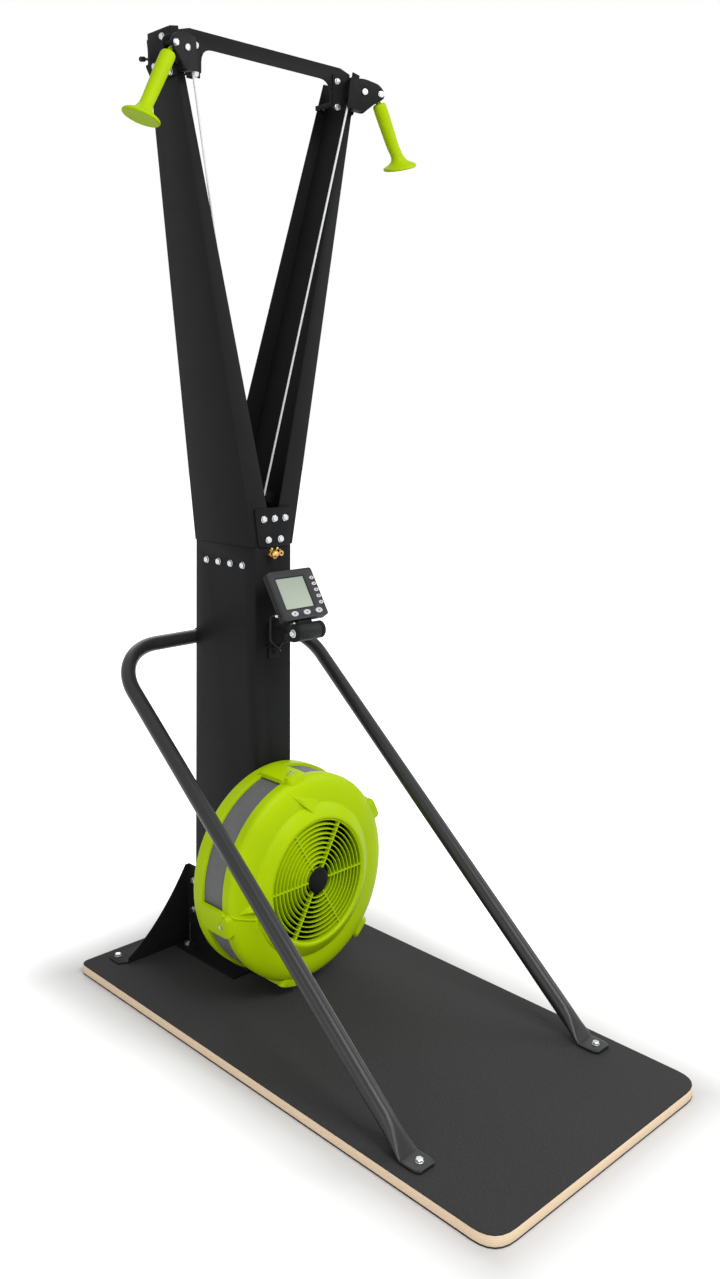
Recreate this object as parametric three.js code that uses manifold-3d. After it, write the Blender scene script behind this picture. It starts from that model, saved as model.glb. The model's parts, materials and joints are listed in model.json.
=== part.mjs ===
// Ski trainer machine: a plywood platform, a folded steel column with two arms, and a fan that two
// hand cords turn. Millimetres, +Z up. The user stands on the platform and faces +Y. The origin is
// on the floor under the middle of the platform. Right-hand pieces lie at +X.
import * as THREE from "three";
import { mergeVertices } from "three/addons/utils/BufferGeometryUtils.js";
import { ConvexGeometry } from "three/addons/geometries/ConvexGeometry.js";
import Module from "manifold-3d";

const wasm = await Module();
wasm.setup();

// Clearances, stock and facet counts that several pieces share
const fitGap = 0.3;
const sheet = 3;
const overrun = 5;
const boltRadius = 7;
const boltHeight = 5;
const screwRadius = 3.5;
const screwHeight = 2.5;
const boltSink = 1;
const smallSides = 8;
const boltSides = 6;
const bossSides = 16;

// Platform
const platformWidth = 610;
const platformLength = 1238;
const platformFrontCorner = 50;
const platformRearCorner = 20;
const platformCornerSteps = 6;
const baseMatThickness = 2;
const boardThickness = 17.4;
const topMatThickness = 2.6;

// Column
const columnWidth = 108;
const columnDepth = 225;
const columnRearInset = 102;
const columnTop = 987;
const columnFold = 5;
const sideBoltDrop = 44;
const sideBoltPitch = 45.7;
const sideBoltCount = 4;
const coverScrewCount = 3;
const coverScrewInset = 12;

// Base angles beside the column foot, and the brace wings behind it
const angleReach = 47;
const angleHeight = 170;
const angleFrontHeight = 50;
const angleFrontInset = 17;
const angleBoltInset = 20;
const wingStandOff = 19;
const wingTop = 183;
const wingTopWidth = 12;
const wingReach = 171;
const wingToeHeight = 11;
const wingFootDepth = 56;
const wingFootReach = 192;
const wingFootInner = 20;
const wingFootChamfer = 12;
const wingTabDepth = 40;
const wingTabBottom = 45;
const wingBoltShares = [0.25, 0.75];
const wingCurveRise = 61;
const wingCurveSteps = 10;

// Arms, splice and crossbar
const armLength = 1131;
const armTopHalf = 276.8;
const armFootHalf = 57;
const armFrontStep = 13.5;
const armRearStep = 119.3;
const armVee = 14;
const frontFlangeTop = 17.7;
const rearFlangeTop = 28.8;
const channelDrop = 62;
const channelRise = 43;
const channelRearInset = 17;
const spliceDrop = 2;
const spliceRise = 88;
const spliceTopHalf = 57;
const spliceFootHalf = 45;
const spliceCorner = 8;
const spliceThickness = 3.5;
const spliceUpperBolt = 63;
const spliceLowerBolt = 15;
const spliceUpperPitch = 31.5;
const spliceLowerPitch = 18;
const crossbarThickness = 4;
const crossbarTopRise = 19;
const crossbarDepth = 37;
const crossbarEndDepth = 95;
const crossbarEndInner = 192;
const crossbarEndOuter = 257;
const crossbarShoulder = 225;
const crossbarShoulderDrop = 10;
const crossbarFillet = 32;
const crossbarFilletSteps = 5;
const crossbarHoleRadius = 3;
const crossbarHoleInset = 6;
const crossbarHoleDrop = 60;

// Head plates on the outside of the arm tops, and the straps to the rear flanges
const headPlateThickness = 4;
const headPlateLength = 104;
const headPlateRise = 11;
const headPlateFront = 8;
const headPlateRear = 83;
const headPlateSlope = 16;
const headPlateLug = 11;
const headPlateLugHeight = 27;
const headPlateLugRise = 14;
const headPlateCorner = 6;
const headBoltInset = 10;
const headLipHeight = 23;
const headLipWidth = 19;
const stopStudLength = 12;
const stopStudRadius = 3;
const stopCapRadius = 5.5;
const stopCapLength = 11;
const strapHeight = 12;
const strapTabHeight = 32;
const strapDrop = 77;
const strapInset = 52.3;
const strapTabWidth = 30;
const strapBoltShares = [0.25, 0.75];

// Pulley heads
const headTurnDegrees = 22;
const headInset = 58.4;
const headForward = 27.25;
const headDepth = 28.2;
const cheekLength = 102.5;
const cheekHeight = 81;
const cheekCorner = 8;
const cheekOutlineShares = [
  [0.121, 0.981],
  [0.488, 1],
  [0.859, 0.867],
  [1, 0.651],
  [0.99, 0.441],
  [0.751, 0.275],
  [0.488, 0],
  [0.033, 0.089],
];
const cheekLipStart = 16;
const cordSlotHeight = 26;
const cheekInset = 4;
const tabReach = 20.4;
const tabRise = 11;
const tabDrop = 5;
const tabBoltInset = 7;
const axleInset = 49;
const axleRise = 47.8;
const axleDrop = 42;
const axleRadius = 5;
const axleHeadRadius = 9;
const axleSides = 12;
const keeperReach = 44;
const keeperDrop = 1;
const keeperPinRadius = 3;
const pulleyRadius = 33.3;
const pulleyWidth = 20;
const pulleyCordRadius = 31;
const pulleyRim = 2;
const pulleyFloor = 6;

// Cords and handles
const cordDiameter = 5;
const cordSides = 6;
const cordBendSteps = 8;
const cordLeanDegrees = 25.4;
const neckDrop = 25;
const handleLeanDegrees = 25.5;
const handleSwingDegrees = 2.7;
const handleNeckRadius = 5;
const handleNeckFlare = 2;
const handleNeckLength = 13;
const handleLength = 168;
const handleRadius = 17;
const pommelRadius = 42;
const handleProfileShares = [
  [0.82, 0],
  [0.97, 0.012],
  [1, 0.035],
  [0.98, 0.3],
  [0.88, 0.75],
  [0.88, 0.9],
];
const pommelLeanDegrees = 20.8;
const pommelSwingDegrees = -19.7;
const pommelFlare = 30;
const pommelFlareShares = [
  [0.34, 1],
  [0.44, 0.62],
  [0.62, 0.34],
  [0.96, 0.18],
];
const pommelRim = 4;
const pommelEdge = 1.5;
const handleSides = 14;
const guidePostRadius = 11;
const guidePostRise = 105;
const guidePostLength = 18;
const guidePostLip = 3;
const guidePlateSetback = 70;
const guideLegDepth = 26;
const guidePlateRise = 124;
const anchorSpread = 13.5;
const anchorDrop = 17;
const anchorRadius = 6.5;
const anchorLength = 13;
const anchorBore = 3;
const anchorBoreDepth = 9;
const anchorScrewRadius = 2.2;
const anchorScrewLength = 3;

// Fan
const fanHeight = 245.2;
const rimRadius = 224.6;
const rimDepth = 33.7;
const rimChamfer = 5;
const meshShow = 67;
const meshLap = 6;
const meshThickness = 1.5;
const shellRadius = 221;
const shellWall = 3;
const shellDepth = 40;
const shoulderDepth = 23;
const shoulderReach = 55;
const ringRadius = 162;
const ringDepth = 19;
const openingRadius = 130.5;
const openingEdge = 6;
const shoulderSteps = 4;
const fanSides = 32;
const lugDegrees = [26, 99, 192, 256, 314];
const lugWidth = 60;
const lugThickness = 9;
const lugBossRadius = 8;
const lugBossHeight = 3;
const lugFrontCorner = 16;
const lugLap = 16;
const lugScrewInset = 24;
const scoopDegrees = [98, 184];
const scoopLength = 52;
const scoopWidth = 32;
const scoopHeight = 8;
const scoopCornerShares = [
  [-0.22, 0, 1.1],
  [0.1, 0.04, 1.3],
  [0.1, 0.5, 0.1],
  [0.78, -0.3, -0.95],
  [0.5, 0.45, -0.5],
  [0.1, -0.25, -0.1],
  [0.1, 0, -0.2],
  [0.5, 0, -0.8],
];
const ledgeDegrees = 190;
const ledgeWidth = 3;
const ledgeHeight = 2.5;
const grilleDepth = 12;
const grilleHubRadius = 26;
const grilleHubInset = 2;
const grilleRingWidth = 2.2;
const grilleSlant = 1.6;
const grilleRingCount = 9;
const grilleSides = 16;
const spokeCount = 6;
const spokeWidth = 3;
const hubCapRadius = 27.5;
const hubCapDepth = 5.2;
const hubCapProfileShares = [
  [1, 0],
  [1, 0.33],
  [0.9, 0.8],
  [0.7, 1],
];
const wheelRadius = 185;
const wheelWidth = 68;
const wheelPlate = 3;
const wheelHubRadius = 24;
const wheelRearGap = 45;
const wheelHubReach = 12;
const bladeCount = 12;
const wheelSides = 16;
const bladeRoot = 44;
const bladeThickness = 2.4;
const bladeSweepDegrees = 28;
const bladeSteps = 3;
const shaftRadius = 10;
const shaftNutRadius = 16;
const shaftNutLength = 12;
const shaftTip = 4;
const bearingRadius = 22;
const bearingFlangeRadius = 32;
const bearingFlange = 5;
const bearingFront = 9;
const drumCordRadius = 19;
const drumFlangeRadius = 25;
const drumFlange = 2;
const drumWidth = 16;
const drumPitch = 20;
const drumSetback = 33;
const drumSides = 12;
const collarRadius = 14;
const supportGap = 3;
const supportHeight = 105;
const supportLegDepth = 26;
const supportBossRadius = 21;
const supportBossLength = 20;

// Rails
const railDiameter = 33.5;
const railHeight = 750;
const railCornerInset = 24;
const railFootInset = 47;
const railFootSetback = 233;
const railBend = 120;
const railBendSteps = 6;
const railSides = 12;
const railFootWidth = 48;
const railFootTipWidth = 32;
const railFootRoundness = 0.5;
const railFootThickness = 6;
const railFootTaper = 68;
const railFootLength = 46;
const railFootBoltInset = 26;
const saddleWidth = 76;
const saddleFlange = 22;
const saddleBoltSpread = 25;
const saddleSteps = 18;

// Monitor
const monitorLeanDegrees = 33;
const monitorWidth = 128;
const monitorHeight = 118;
const monitorCorner = 7;
const monitorCornerSteps = 4;
const monitorSetback = 88;
const monitorRise = 888.3;
const bezelDepth = 7;
const caseDepth = 20;
const bulgeInset = 14;
const bulgeDepth = 12;
const windowWidth = 84;
const windowHeight = 78;
const windowShift = -8;
const windowRise = 3.4;
const windowRecess = 1.5;
const buttonProud = 1.2;
const buttonBack = 5.5;
const lowerButtonWidth = 21;
const lowerButtonHeight = 13;
const lowerButtonDrop = 46;
const lowerButtonShares = [-0.242, 0.035, 0.3125];
const sideButtonWidth = 14;
const sideButtonHeight = 9;
const sideButtonReach = 55;
const sideButtonShares = [0.28, 0.153, 0.025, -0.106, -0.237];
const buttonSides = 8;
const barrelRadius = 19.5;
const barrelHalf = 28.5;
const barrelSides = 14;
const barrelSetback = 118;
const barrelDrop = 80.3;
const neckHalf = 20;
const neckThickness = 12;
const earWidth = 11;
const tiltBoltRadius = 4;
const bridgeNear = 20;
const bridgeFar = 30;
const bridgeTop = 4;
const armHalf = 13;
const armRootTop = 7;
const armRootBottom = 48;
const gussetDrop = 73;
const gussetReach = 52;
const gussetHalf = 2.5;
const rootPlateHalf = 16;
const rootPlateThickness = 4;
const cableDiameter = 4;
const cableSides = 6;
const cableBend = 14;
const cableBendSteps = 4;

// Derived places
const radians = Math.PI / 180;
const columnRear = platformLength / 2 - columnRearInset;
const columnFront = columnRear - columnDepth;
const columnHalf = columnWidth / 2;
const columnInner = columnHalf - sheet;
const boardBottom = baseMatThickness + fitGap;
const topMatBottom = boardBottom + boardThickness + fitGap;
const deckTop = topMatBottom + topMatThickness;
const footPlane = deckTop + fitGap;
const armTop = columnTop + armLength;
const cordRadius = cordDiameter / 2;
const fanZ = deckTop + fanHeight;
const fanRear = columnFront - fitGap;

// A closed geometry as a solid that can be joined and cut.
const weldDistance = 0.001;
function solid(geometry) {
  const bare = new THREE.BufferGeometry();
  bare.setAttribute("position", geometry.getAttribute("position"));
  bare.setIndex(geometry.getIndex());
  const merged = mergeVertices(bare, weldDistance);
  const vertProperties = new Float32Array(merged.getAttribute("position").array);
  const triVerts = new Uint32Array(merged.getIndex().array);
  return new wasm.Manifold(new wasm.Mesh({ numProp: 3, vertProperties, triVerts }));
}

function geometryOf(shape) {
  const made = shape.getMesh();
  const geometry = new THREE.BufferGeometry();
  geometry.setAttribute("position", new THREE.BufferAttribute(made.vertProperties, 3));
  geometry.setIndex(new THREE.BufferAttribute(made.triVerts, 1));
  return geometry;
}

function join(first, ...others) {
  return geometryOf(others.reduce((whole, part) => whole.add(solid(part)), solid(first)));
}

function cut(whole, ...tools) {
  return geometryOf(tools.reduce((rest, tool) => rest.subtract(solid(tool)), solid(whole)));
}

function common(first, second) {
  return geometryOf(solid(first).intersect(solid(second)));
}

// A closed outline through [x, y, corner radius] points. A radius rounds its corner.
function outline(corners) {
  const shape = new THREE.Shape();
  const count = corners.length;
  const at = (i) => new THREE.Vector2(...corners[(i + count) % count]);
  corners.forEach(([, , radius = 0], i) => {
    const corner = at(i);
    const into = corner.clone().add(at(i - 1).sub(corner).setLength(radius));
    const out = corner.clone().add(at(i + 1).sub(corner).setLength(radius));
    if (i === 0) shape.moveTo(into.x, into.y);
    else shape.lineTo(into.x, into.y);
    if (radius > 0) shape.quadraticCurveTo(corner.x, corner.y, out.x, out.y);
  });
  shape.closePath();
  return shape;
}

function mirrorOutline(corners) {
  const rest = corners.filter(([x]) => x !== 0);
  return [...corners, ...rest.reverse().map(([x, y, radius]) => [-x, y, radius])];
}

function extruded(shape, depth, curveSegments = 2) {
  return new THREE.ExtrudeGeometry(shape, { depth, bevelEnabled: false, curveSegments });
}

// Plates by the plane they are drawn in: plan (x, y), front view (x, z) and side view (y, z).
function plan(shape, bottom, top, curveSegments) {
  return extruded(shape, top - bottom, curveSegments).translate(0, 0, bottom);
}

function frontView(shape, near, far, curveSegments) {
  const toFront = new THREE.Matrix4().makeRotationX(Math.PI / 2);
  return extruded(shape, far - near, curveSegments).applyMatrix4(toFront).translate(0, far, 0);
}

function sideView(shape, from, to, curveSegments) {
  const x = new THREE.Vector3(0, 1, 0);
  const y = new THREE.Vector3(0, 0, 1);
  const toSide = new THREE.Matrix4().makeBasis(x, y, new THREE.Vector3(1, 0, 0));
  return extruded(shape, to - from, curveSegments).applyMatrix4(toSide).translate(from, 0, 0);
}

function block(left, right, front, back, bottom, top) {
  const box = new THREE.BoxGeometry(right - left, back - front, top - bottom);
  return box.translate((left + right) / 2, (front + back) / 2, (bottom + top) / 2);
}

// A turned piece from [radius, distance along the axis] points, closed on itself or on the axis.
function turned(profile, sides, axis = "y") {
  const open = profile[0][0] === 0 && profile[profile.length - 1][0] === 0;
  const points = profile.map(([radius, along]) => new THREE.Vector2(radius, along));
  if (THREE.ShapeUtils.area(points) < 0) points.reverse();
  if (!open) points.push(points[0].clone());
  const lathe = new THREE.LatheGeometry(points, sides);
  if (axis === "x") lathe.rotateZ(-Math.PI / 2);
  if (axis === "z") lathe.rotateX(Math.PI / 2);
  return lathe;
}

// A straight round bar between two points.
function rod(radius, from, to, sides = smallSides, endRadius = radius) {
  const along = to.clone().sub(from);
  const bar = new THREE.CylinderGeometry(endRadius, radius, along.length(), sides);
  const turn = new THREE.Quaternion().setFromUnitVectors(
    new THREE.Vector3(0, 1, 0),
    along.clone().normalize(),
  );
  const middle = from.clone().add(to).multiplyScalar(0.5);
  return bar.applyQuaternion(turn).translate(middle.x, middle.y, middle.z);
}

// A hexagon bolt head that stands on a face, sunk a little so that it joins its plate.
const headTaperShare = 0.8;
function bolt(at, outward, radius = boltRadius, height = boltHeight) {
  const foot = at.clone().addScaledVector(outward, -boltSink);
  const top = at.clone().addScaledVector(outward, height);
  return rod(radius, foot, top, boltSides, radius * headTaperShare);
}

// A skin over rings of points, closed by a flat cap at each end.
function loft(rings) {
  const count = rings[0].length;
  const index = [];
  for (let ring = 0; ring + 1 < rings.length; ring++)
    for (let i = 0; i < count; i++) {
      const a = ring * count + i;
      const b = ring * count + ((i + 1) % count);
      index.push(a, b, b + count, a, b + count, a + count);
    }
  const [first] = rings;
  const side = first[1].clone().sub(first[0]).normalize();
  const normal = new THREE.Vector3();
  first.forEach((point, i) => {
    normal.add(point.clone().sub(first[0]).cross(first[(i + 1) % count].clone().sub(first[0])));
  });
  const across = normal.normalize().clone().cross(side);
  const flat = first.map((point) => new THREE.Vector2(point.dot(side), point.dot(across)));
  const last = (rings.length - 1) * count;
  for (const [a, b, c] of THREE.ShapeUtils.triangulateShape(flat, [])) {
    index.push(a, c, b);
    index.push(last + a, last + b, last + c);
  }
  const forward = rings[rings.length - 1][0].clone().sub(first[0]).dot(normal);
  if (forward < 0) index.reverse();
  const geometry = new THREE.BufferGeometry().setFromPoints(rings.flat());
  return geometry.setIndex(index);
}

// A route with round bends, whose sweep has a step only where it turns.
class Route extends THREE.Curve {
  constructor(points) {
    super();
    this.points = points;
    this.last = points.length - 1;
  }

  getPoint(share, target = new THREE.Vector3()) {
    return target.copy(this.points[Math.round(share * this.last)]);
  }

  getSpacedPoints() {
    return this.points;
  }

  getPointAt(share, target) {
    return this.getPoint(share, target);
  }

  getTangentAt(share, target = new THREE.Vector3()) {
    const here = Math.round(share * this.last);
    const point = this.points[here];
    const into = point.clone().sub(this.points[Math.max(here - 1, 0)]).normalize();
    const out = this.points[Math.min(here + 1, this.last)].clone().sub(point).normalize();
    return target.copy(into).add(out).normalize();
  }
}

// Points along straight runs between corners, each corner {at, radius} rounded in some steps.
function bentPoints(start, corners, end, steps) {
  const knots = [start, ...corners.map(({ at }) => at), end];
  const points = [start];
  corners.forEach(({ at, radius }, i) => {
    const into = at.clone().sub(knots[i]).normalize();
    const out = knots[i + 2].clone().sub(at).normalize();
    const turn = into.angleTo(out);
    const inward = out.clone().sub(into).normalize();
    const along = out.clone().add(into).normalize();
    const centre = at.clone().addScaledVector(inward, radius / Math.cos(turn / 2));
    for (let step = 0; step <= steps; step++) {
      const angle = turn * (step / steps - 1 / 2);
      const point = centre.clone().addScaledVector(inward, -radius * Math.cos(angle));
      points.push(point.addScaledVector(along, radius * Math.sin(angle)));
    }
  });
  points.push(end);
  return points;
}

function tube(points, radius, sides) {
  const ring = [];
  for (let side = 0; side < sides; side++) {
    const angle = (2 * Math.PI * side) / sides;
    ring.push(new THREE.Vector2(radius * Math.cos(angle), radius * Math.sin(angle)));
  }
  return new THREE.ExtrudeGeometry(new THREE.Shape(ring), {
    steps: points.length - 1,
    extrudePath: new Route(points),
    bevelEnabled: false,
  });
}

// Finishes
const finish = (color, roughness, metalness) =>
  new THREE.MeshStandardMaterial({ color, roughness, metalness, flatShading: true });
const blackSteel = finish(0x1d1e20, 0.5, 0.35);
const blackPlastic = finish(0x26282b, 0.55, 0);
const limePlastic = finish(0xb2d204, 0.38, 0);
const greyMesh = finish(0x66666b, 0.6, 0.2);
const plywood = finish(0xe0be94, 0.6, 0);
const rubber = finish(0x3b3b3b, 0.95, 0);
const steel = finish(0xc4c6c8, 0.25, 0.9);
const brass = finish(0xb98a3a, 0.3, 0.9);
const whiteCord = finish(0xe9eae6, 0.7, 0);
const display = finish(0xa8b4a5, 0.2, 0);
const buttonGrey = finish(0xc9ccd0, 0.45, 0);

const machine = new THREE.Group();
const rightSide = new THREE.Group();
const leftSide = new THREE.Group();
leftSide.scale.x = -1;
machine.add(rightSide, leftSide);

function piece(name, geometry, material, parent = machine) {
  const mesh = new THREE.Mesh(geometry, material);
  mesh.name = name;
  parent.add(mesh);
  return mesh;
}

// The same piece on both sides of the machine, made for the right and mirrored for the left.
function pair(name, geometry, material) {
  piece(`${name}_right`, geometry, material, rightSide);
  piece(`${name}_left`, geometry, material, leftSide);
}

const up = new THREE.Vector3(0, 0, 1);
const forward = new THREE.Vector3(0, -1, 0);
const rearward = new THREE.Vector3(0, 1, 0);
const outboard = new THREE.Vector3(1, 0, 0);
const inboard = new THREE.Vector3(-1, 0, 0);
const point = (x, y, z) => new THREE.Vector3(x, y, z);

// Platform: a plywood board between a thin base mat and a grippy top mat.
const platformOutline = outline([
  [-platformWidth / 2, -platformLength / 2, platformFrontCorner],
  [platformWidth / 2, -platformLength / 2, platformFrontCorner],
  [platformWidth / 2, platformLength / 2, platformRearCorner],
  [-platformWidth / 2, platformLength / 2, platformRearCorner],
]);
piece("platform_base_mat", plan(platformOutline, 0, baseMatThickness, platformCornerSteps), rubber);
const boardTop = boardBottom + boardThickness;
const board = plan(platformOutline, boardBottom, boardTop, platformCornerSteps);
piece("platform_board", board, plywood);
const topMat = plan(platformOutline, topMatBottom, deckTop, platformCornerSteps);
piece("platform_top_mat", topMat, rubber);

// Column: a folded shell of front and sides, closed by a cover plate behind.
const shellPlan = outline([
  [-columnHalf, columnFront, columnFold],
  [columnHalf, columnFront, columnFold],
  [columnHalf, columnRear],
  [columnInner, columnRear],
  [columnInner, columnFront + sheet],
  [-columnInner, columnFront + sheet],
  [-columnInner, columnRear],
  [-columnHalf, columnRear],
]);
const bearingHole = rod(
  bearingRadius + fitGap,
  point(0, columnFront - overrun, fanZ),
  point(0, columnFront + sheet + overrun, fanZ),
  bossSides,
);
const sideBolts = [];
for (let i = 0; i < sideBoltCount; i++) {
  const y = (columnFront + columnRear) / 2 + sideBoltPitch * (i - (sideBoltCount - 1) / 2);
  const z = columnTop - sideBoltDrop;
  sideBolts.push(bolt(point(columnHalf, y, z), outboard));
  sideBolts.push(bolt(point(-columnHalf, y, z), inboard));
}
const columnShell = cut(join(plan(shellPlan, footPlane, columnTop), ...sideBolts), bearingHole);
piece("column_shell", columnShell, blackSteel);

const coverHalf = columnInner - fitGap;
const coverScrews = [];
for (let i = 0; i < coverScrewCount; i++)
  for (const side of [-1, 1]) {
    const spacing = (columnTop - footPlane - 2 * coverScrewInset) / (coverScrewCount - 1);
    const z = footPlane + coverScrewInset + spacing * i;
    const at = point(side * (coverHalf - coverScrewInset), columnRear, z);
    coverScrews.push(bolt(at, rearward, screwRadius, screwHeight));
  }
const cover = block(-coverHalf, coverHalf, columnRear - sheet, columnRear, footPlane, columnTop);
piece("column_rear_cover", join(cover, ...coverScrews), blackSteel);

// Base angles: folded feet that bolt the column to the platform.
const wingFront = columnRear + wingStandOff;
const angleRear = wingFront - fitGap;
const angleFront = columnFront + angleFrontInset;
const angleInner = columnHalf + fitGap;
const angleOuter = angleInner + sheet;
const angleWall = sideView(
  outline([
    [angleFront, footPlane],
    [angleRear, footPlane],
    [angleRear, footPlane + angleHeight, columnFold],
    [(angleFront + angleRear) / 2, footPlane + angleHeight, columnFold],
    [angleFront + angleFrontInset, footPlane + angleFrontHeight, columnFold],
  ]),
  angleInner,
  angleOuter,
);
const angleFoot = block(
  angleInner,
  angleInner + angleReach,
  angleFront,
  angleRear,
  footPlane,
  footPlane + sheet,
);
const angleBoltX = angleInner + (angleReach + sheet) / 2;
const angleBoltAt = point(angleBoltX, angleRear - angleBoltInset, footPlane + sheet);
pair("base_angle", join(angleWall, angleFoot, bolt(angleBoltAt, up)), blackSteel);

// Brace wings: upright gussets behind the column, each with a tab on its base angle and a foot.
const wingInner = angleOuter + fitGap;
const wingOutline = new THREE.Shape();
wingOutline.moveTo(wingInner, footPlane);
wingOutline.lineTo(wingInner, footPlane + wingTop);
wingOutline.lineTo(wingInner + wingTopWidth, footPlane + wingTop);
wingOutline.quadraticCurveTo(
  wingInner + wingReach / 2,
  footPlane + wingCurveRise,
  wingInner + wingReach,
  footPlane + wingToeHeight,
);
wingOutline.lineTo(wingInner + wingReach, footPlane);
wingOutline.closePath();
const wingPlate = frontView(wingOutline, wingFront, wingFront + sheet, wingCurveSteps);
const wingTab = block(
  wingInner,
  wingInner + sheet,
  wingFront - wingTabDepth,
  wingFront + sheet,
  footPlane + wingTabBottom,
  footPlane + wingTop,
);
const wingFoot = plan(
  outline([
    [wingInner + wingFootInner, wingFront],
    [wingInner + wingReach, wingFront],
    [wingInner + wingFootReach, wingFront + wingFootChamfer],
    [wingInner + wingFootReach, wingFront + wingFootDepth, wingFootChamfer],
    [wingInner + wingFootInner, wingFront + wingFootDepth, wingFootChamfer],
  ]),
  footPlane,
  footPlane + sheet,
);
const wingBolts = [
  bolt(
    point(
      wingInner + wingFootReach - angleBoltInset,
      wingFront + wingFootDepth - wingFootChamfer,
      footPlane + sheet,
    ),
    up,
  ),
];
for (const share of wingBoltShares) {
  const z = footPlane + wingTabBottom + (wingTop - wingTabBottom) * share;
  wingBolts.push(bolt(point(wingInner + sheet, wingFront - wingTabDepth / 2, z), outboard));
}
pair("brace_wing", join(wingPlate, wingTab, wingFoot, ...wingBolts), blackSteel);

// Arms: tapered channels that open inboard. Their flanges part above the column and form a V.
const armLean = Math.atan2(armTopHalf - armFootHalf, armLength);
const webRun = sheet / Math.cos(armLean);
const veeStart = columnTop + armVee;
const armShare = (z) => (z - columnTop) / armLength;
const armOuter = (z) => armFootHalf + (armTopHalf - armFootHalf) * armShare(z);
const armFront = (z) => columnFront + armFrontStep * armShare(z);
const armRear = (z) => columnRear - armRearStep * armShare(z);
const flangeEdge = (z, flangeTop) => {
  const share = Math.max(0, (z - veeStart) / (armTop - veeStart));
  return fitGap / 2 + (armTopHalf - flangeTop - fitGap / 2) * share;
};
const armRing = (z) =>
  [
    [armOuter(z), armFront(z)],
    [armOuter(z), armRear(z)],
    [flangeEdge(z, rearFlangeTop), armRear(z)],
    [flangeEdge(z, rearFlangeTop), armRear(z) - sheet],
    [armOuter(z) - webRun, armRear(z) - sheet],
    [armOuter(z) - webRun, armFront(z) + sheet],
    [flangeEdge(z, frontFlangeTop), armFront(z) + sheet],
    [flangeEdge(z, frontFlangeTop), armFront(z)],
  ].map(([x, y]) => point(x, y, z));
pair("arm", loft([columnTop + fitGap, veeStart, armTop].map(armRing)), blackSteel);

// Splice channel inside the joint of column and arms, and splice plate over it in front.
const channelTop = columnTop + channelRise;
const channelFront = armFront(channelTop) + sheet + fitGap;
const channelHalf = columnInner - fitGap;
const channelPlan = outline([
  [-channelHalf, channelFront],
  [channelHalf, channelFront],
  [channelHalf, columnRear - channelRearInset],
  [channelHalf - sheet, columnRear - channelRearInset],
  [channelHalf - sheet, channelFront + sheet],
  [-channelHalf + sheet, channelFront + sheet],
  [-channelHalf + sheet, columnRear - channelRearInset],
  [-channelHalf, columnRear - channelRearInset],
]);
piece("splice_channel", plan(channelPlan, columnTop - channelDrop, channelTop), blackSteel);

const spliceRear = columnFront - fitGap;
const spliceFront = spliceRear - spliceThickness;
const spliceOutline = outline(
  [
    [-spliceFootHalf, columnTop - spliceDrop],
    [spliceFootHalf, columnTop - spliceDrop],
    [spliceTopHalf, columnTop + spliceRise],
    [-spliceTopHalf, columnTop + spliceRise],
  ].map((corner) => [...corner, spliceCorner]),
);
const spliceBolts = [
  ...[-1, 0, 1].map((side) => [side * spliceUpperPitch, spliceUpperBolt]),
  ...[-1, 1].map((side) => [side * spliceLowerPitch, spliceLowerBolt]),
].map(([x, rise]) => bolt(point(x, spliceFront, columnTop + rise), forward));
const splicePlate = frontView(spliceOutline, spliceFront, spliceRear);
piece("splice_plate", join(splicePlate, ...spliceBolts), blackSteel);

// Crossbar: a flat plate behind the front flanges of both arms.
const crossbarFront = armFront(armTop) + sheet + fitGap;
const crossbarTop = armTop + crossbarTopRise;
const crossbarOutline = outline(
  mirrorOutline([
    [crossbarShoulder, crossbarTop],
    [crossbarEndOuter, crossbarTop - crossbarShoulderDrop],
    [crossbarEndOuter, crossbarTop - crossbarEndDepth, headPlateCorner],
    [crossbarEndInner, crossbarTop - crossbarEndDepth, headPlateCorner],
    [crossbarEndInner, crossbarTop - crossbarDepth, crossbarFillet],
  ]),
);
const crossbarRear = crossbarFront + crossbarThickness;
const crossbarPlate = frontView(
  crossbarOutline,
  crossbarFront,
  crossbarRear,
  crossbarFilletSteps,
);
const tabRear = crossbarFront - fitGap;
const tabFront = tabRear - sheet;
const crossbarHoles = [];
for (const side of [-1, 1]) {
  const x = side * (crossbarEndInner + crossbarHoleInset);
  const z = crossbarTop - crossbarHoleDrop;
  const near = crossbarFront - overrun;
  const far = crossbarRear + overrun;
  crossbarHoles.push(rod(crossbarHoleRadius, point(x, near, z), point(x, far, z)));
}
piece("crossbar", cut(crossbarPlate, ...crossbarHoles), blackSteel);

// Head plates: stiffeners on the outside of the arm tops, which lean with the arms. In their own
// frame x is the outward offset from the arm's web, z runs along the arm and y is unchanged.
const armFrame = new THREE.Matrix4()
  .makeRotationY(armLean)
  .setPosition(armFootHalf, 0, columnTop);
const armRun = armLength / Math.cos(armLean);
const plateTop = armRun + headPlateRise;
const plateBottom = plateTop - headPlateLength;
const plateFront = armFront(armTop) - headPlateFront / 2;
const plateRear = plateFront + headPlateRear;
const lugRoot = plateRear + headPlateSlope;
const lugRear = lugRoot + headPlateLug;
const lugBottom = plateBottom + headPlateLugRise;
const lugTop = lugBottom + headPlateLugHeight;
const plateOutline = outline([
  [plateFront, plateBottom, headPlateCorner],
  [lugRoot - headPlateLug, plateBottom, headPlateCorner],
  [lugRoot, lugBottom],
  [lugRear, lugTop, headPlateCorner],
  [lugRoot, lugTop],
  [plateRear, plateTop],
  [plateFront, plateTop, headPlateCorner],
]);
const plateFace = fitGap + headPlateThickness;
const headLip = block(
  -headLipWidth,
  plateFace,
  plateFront - sheet / 2,
  plateFront + sheet / 2,
  plateTop - headLipHeight,
  plateTop,
);
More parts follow.
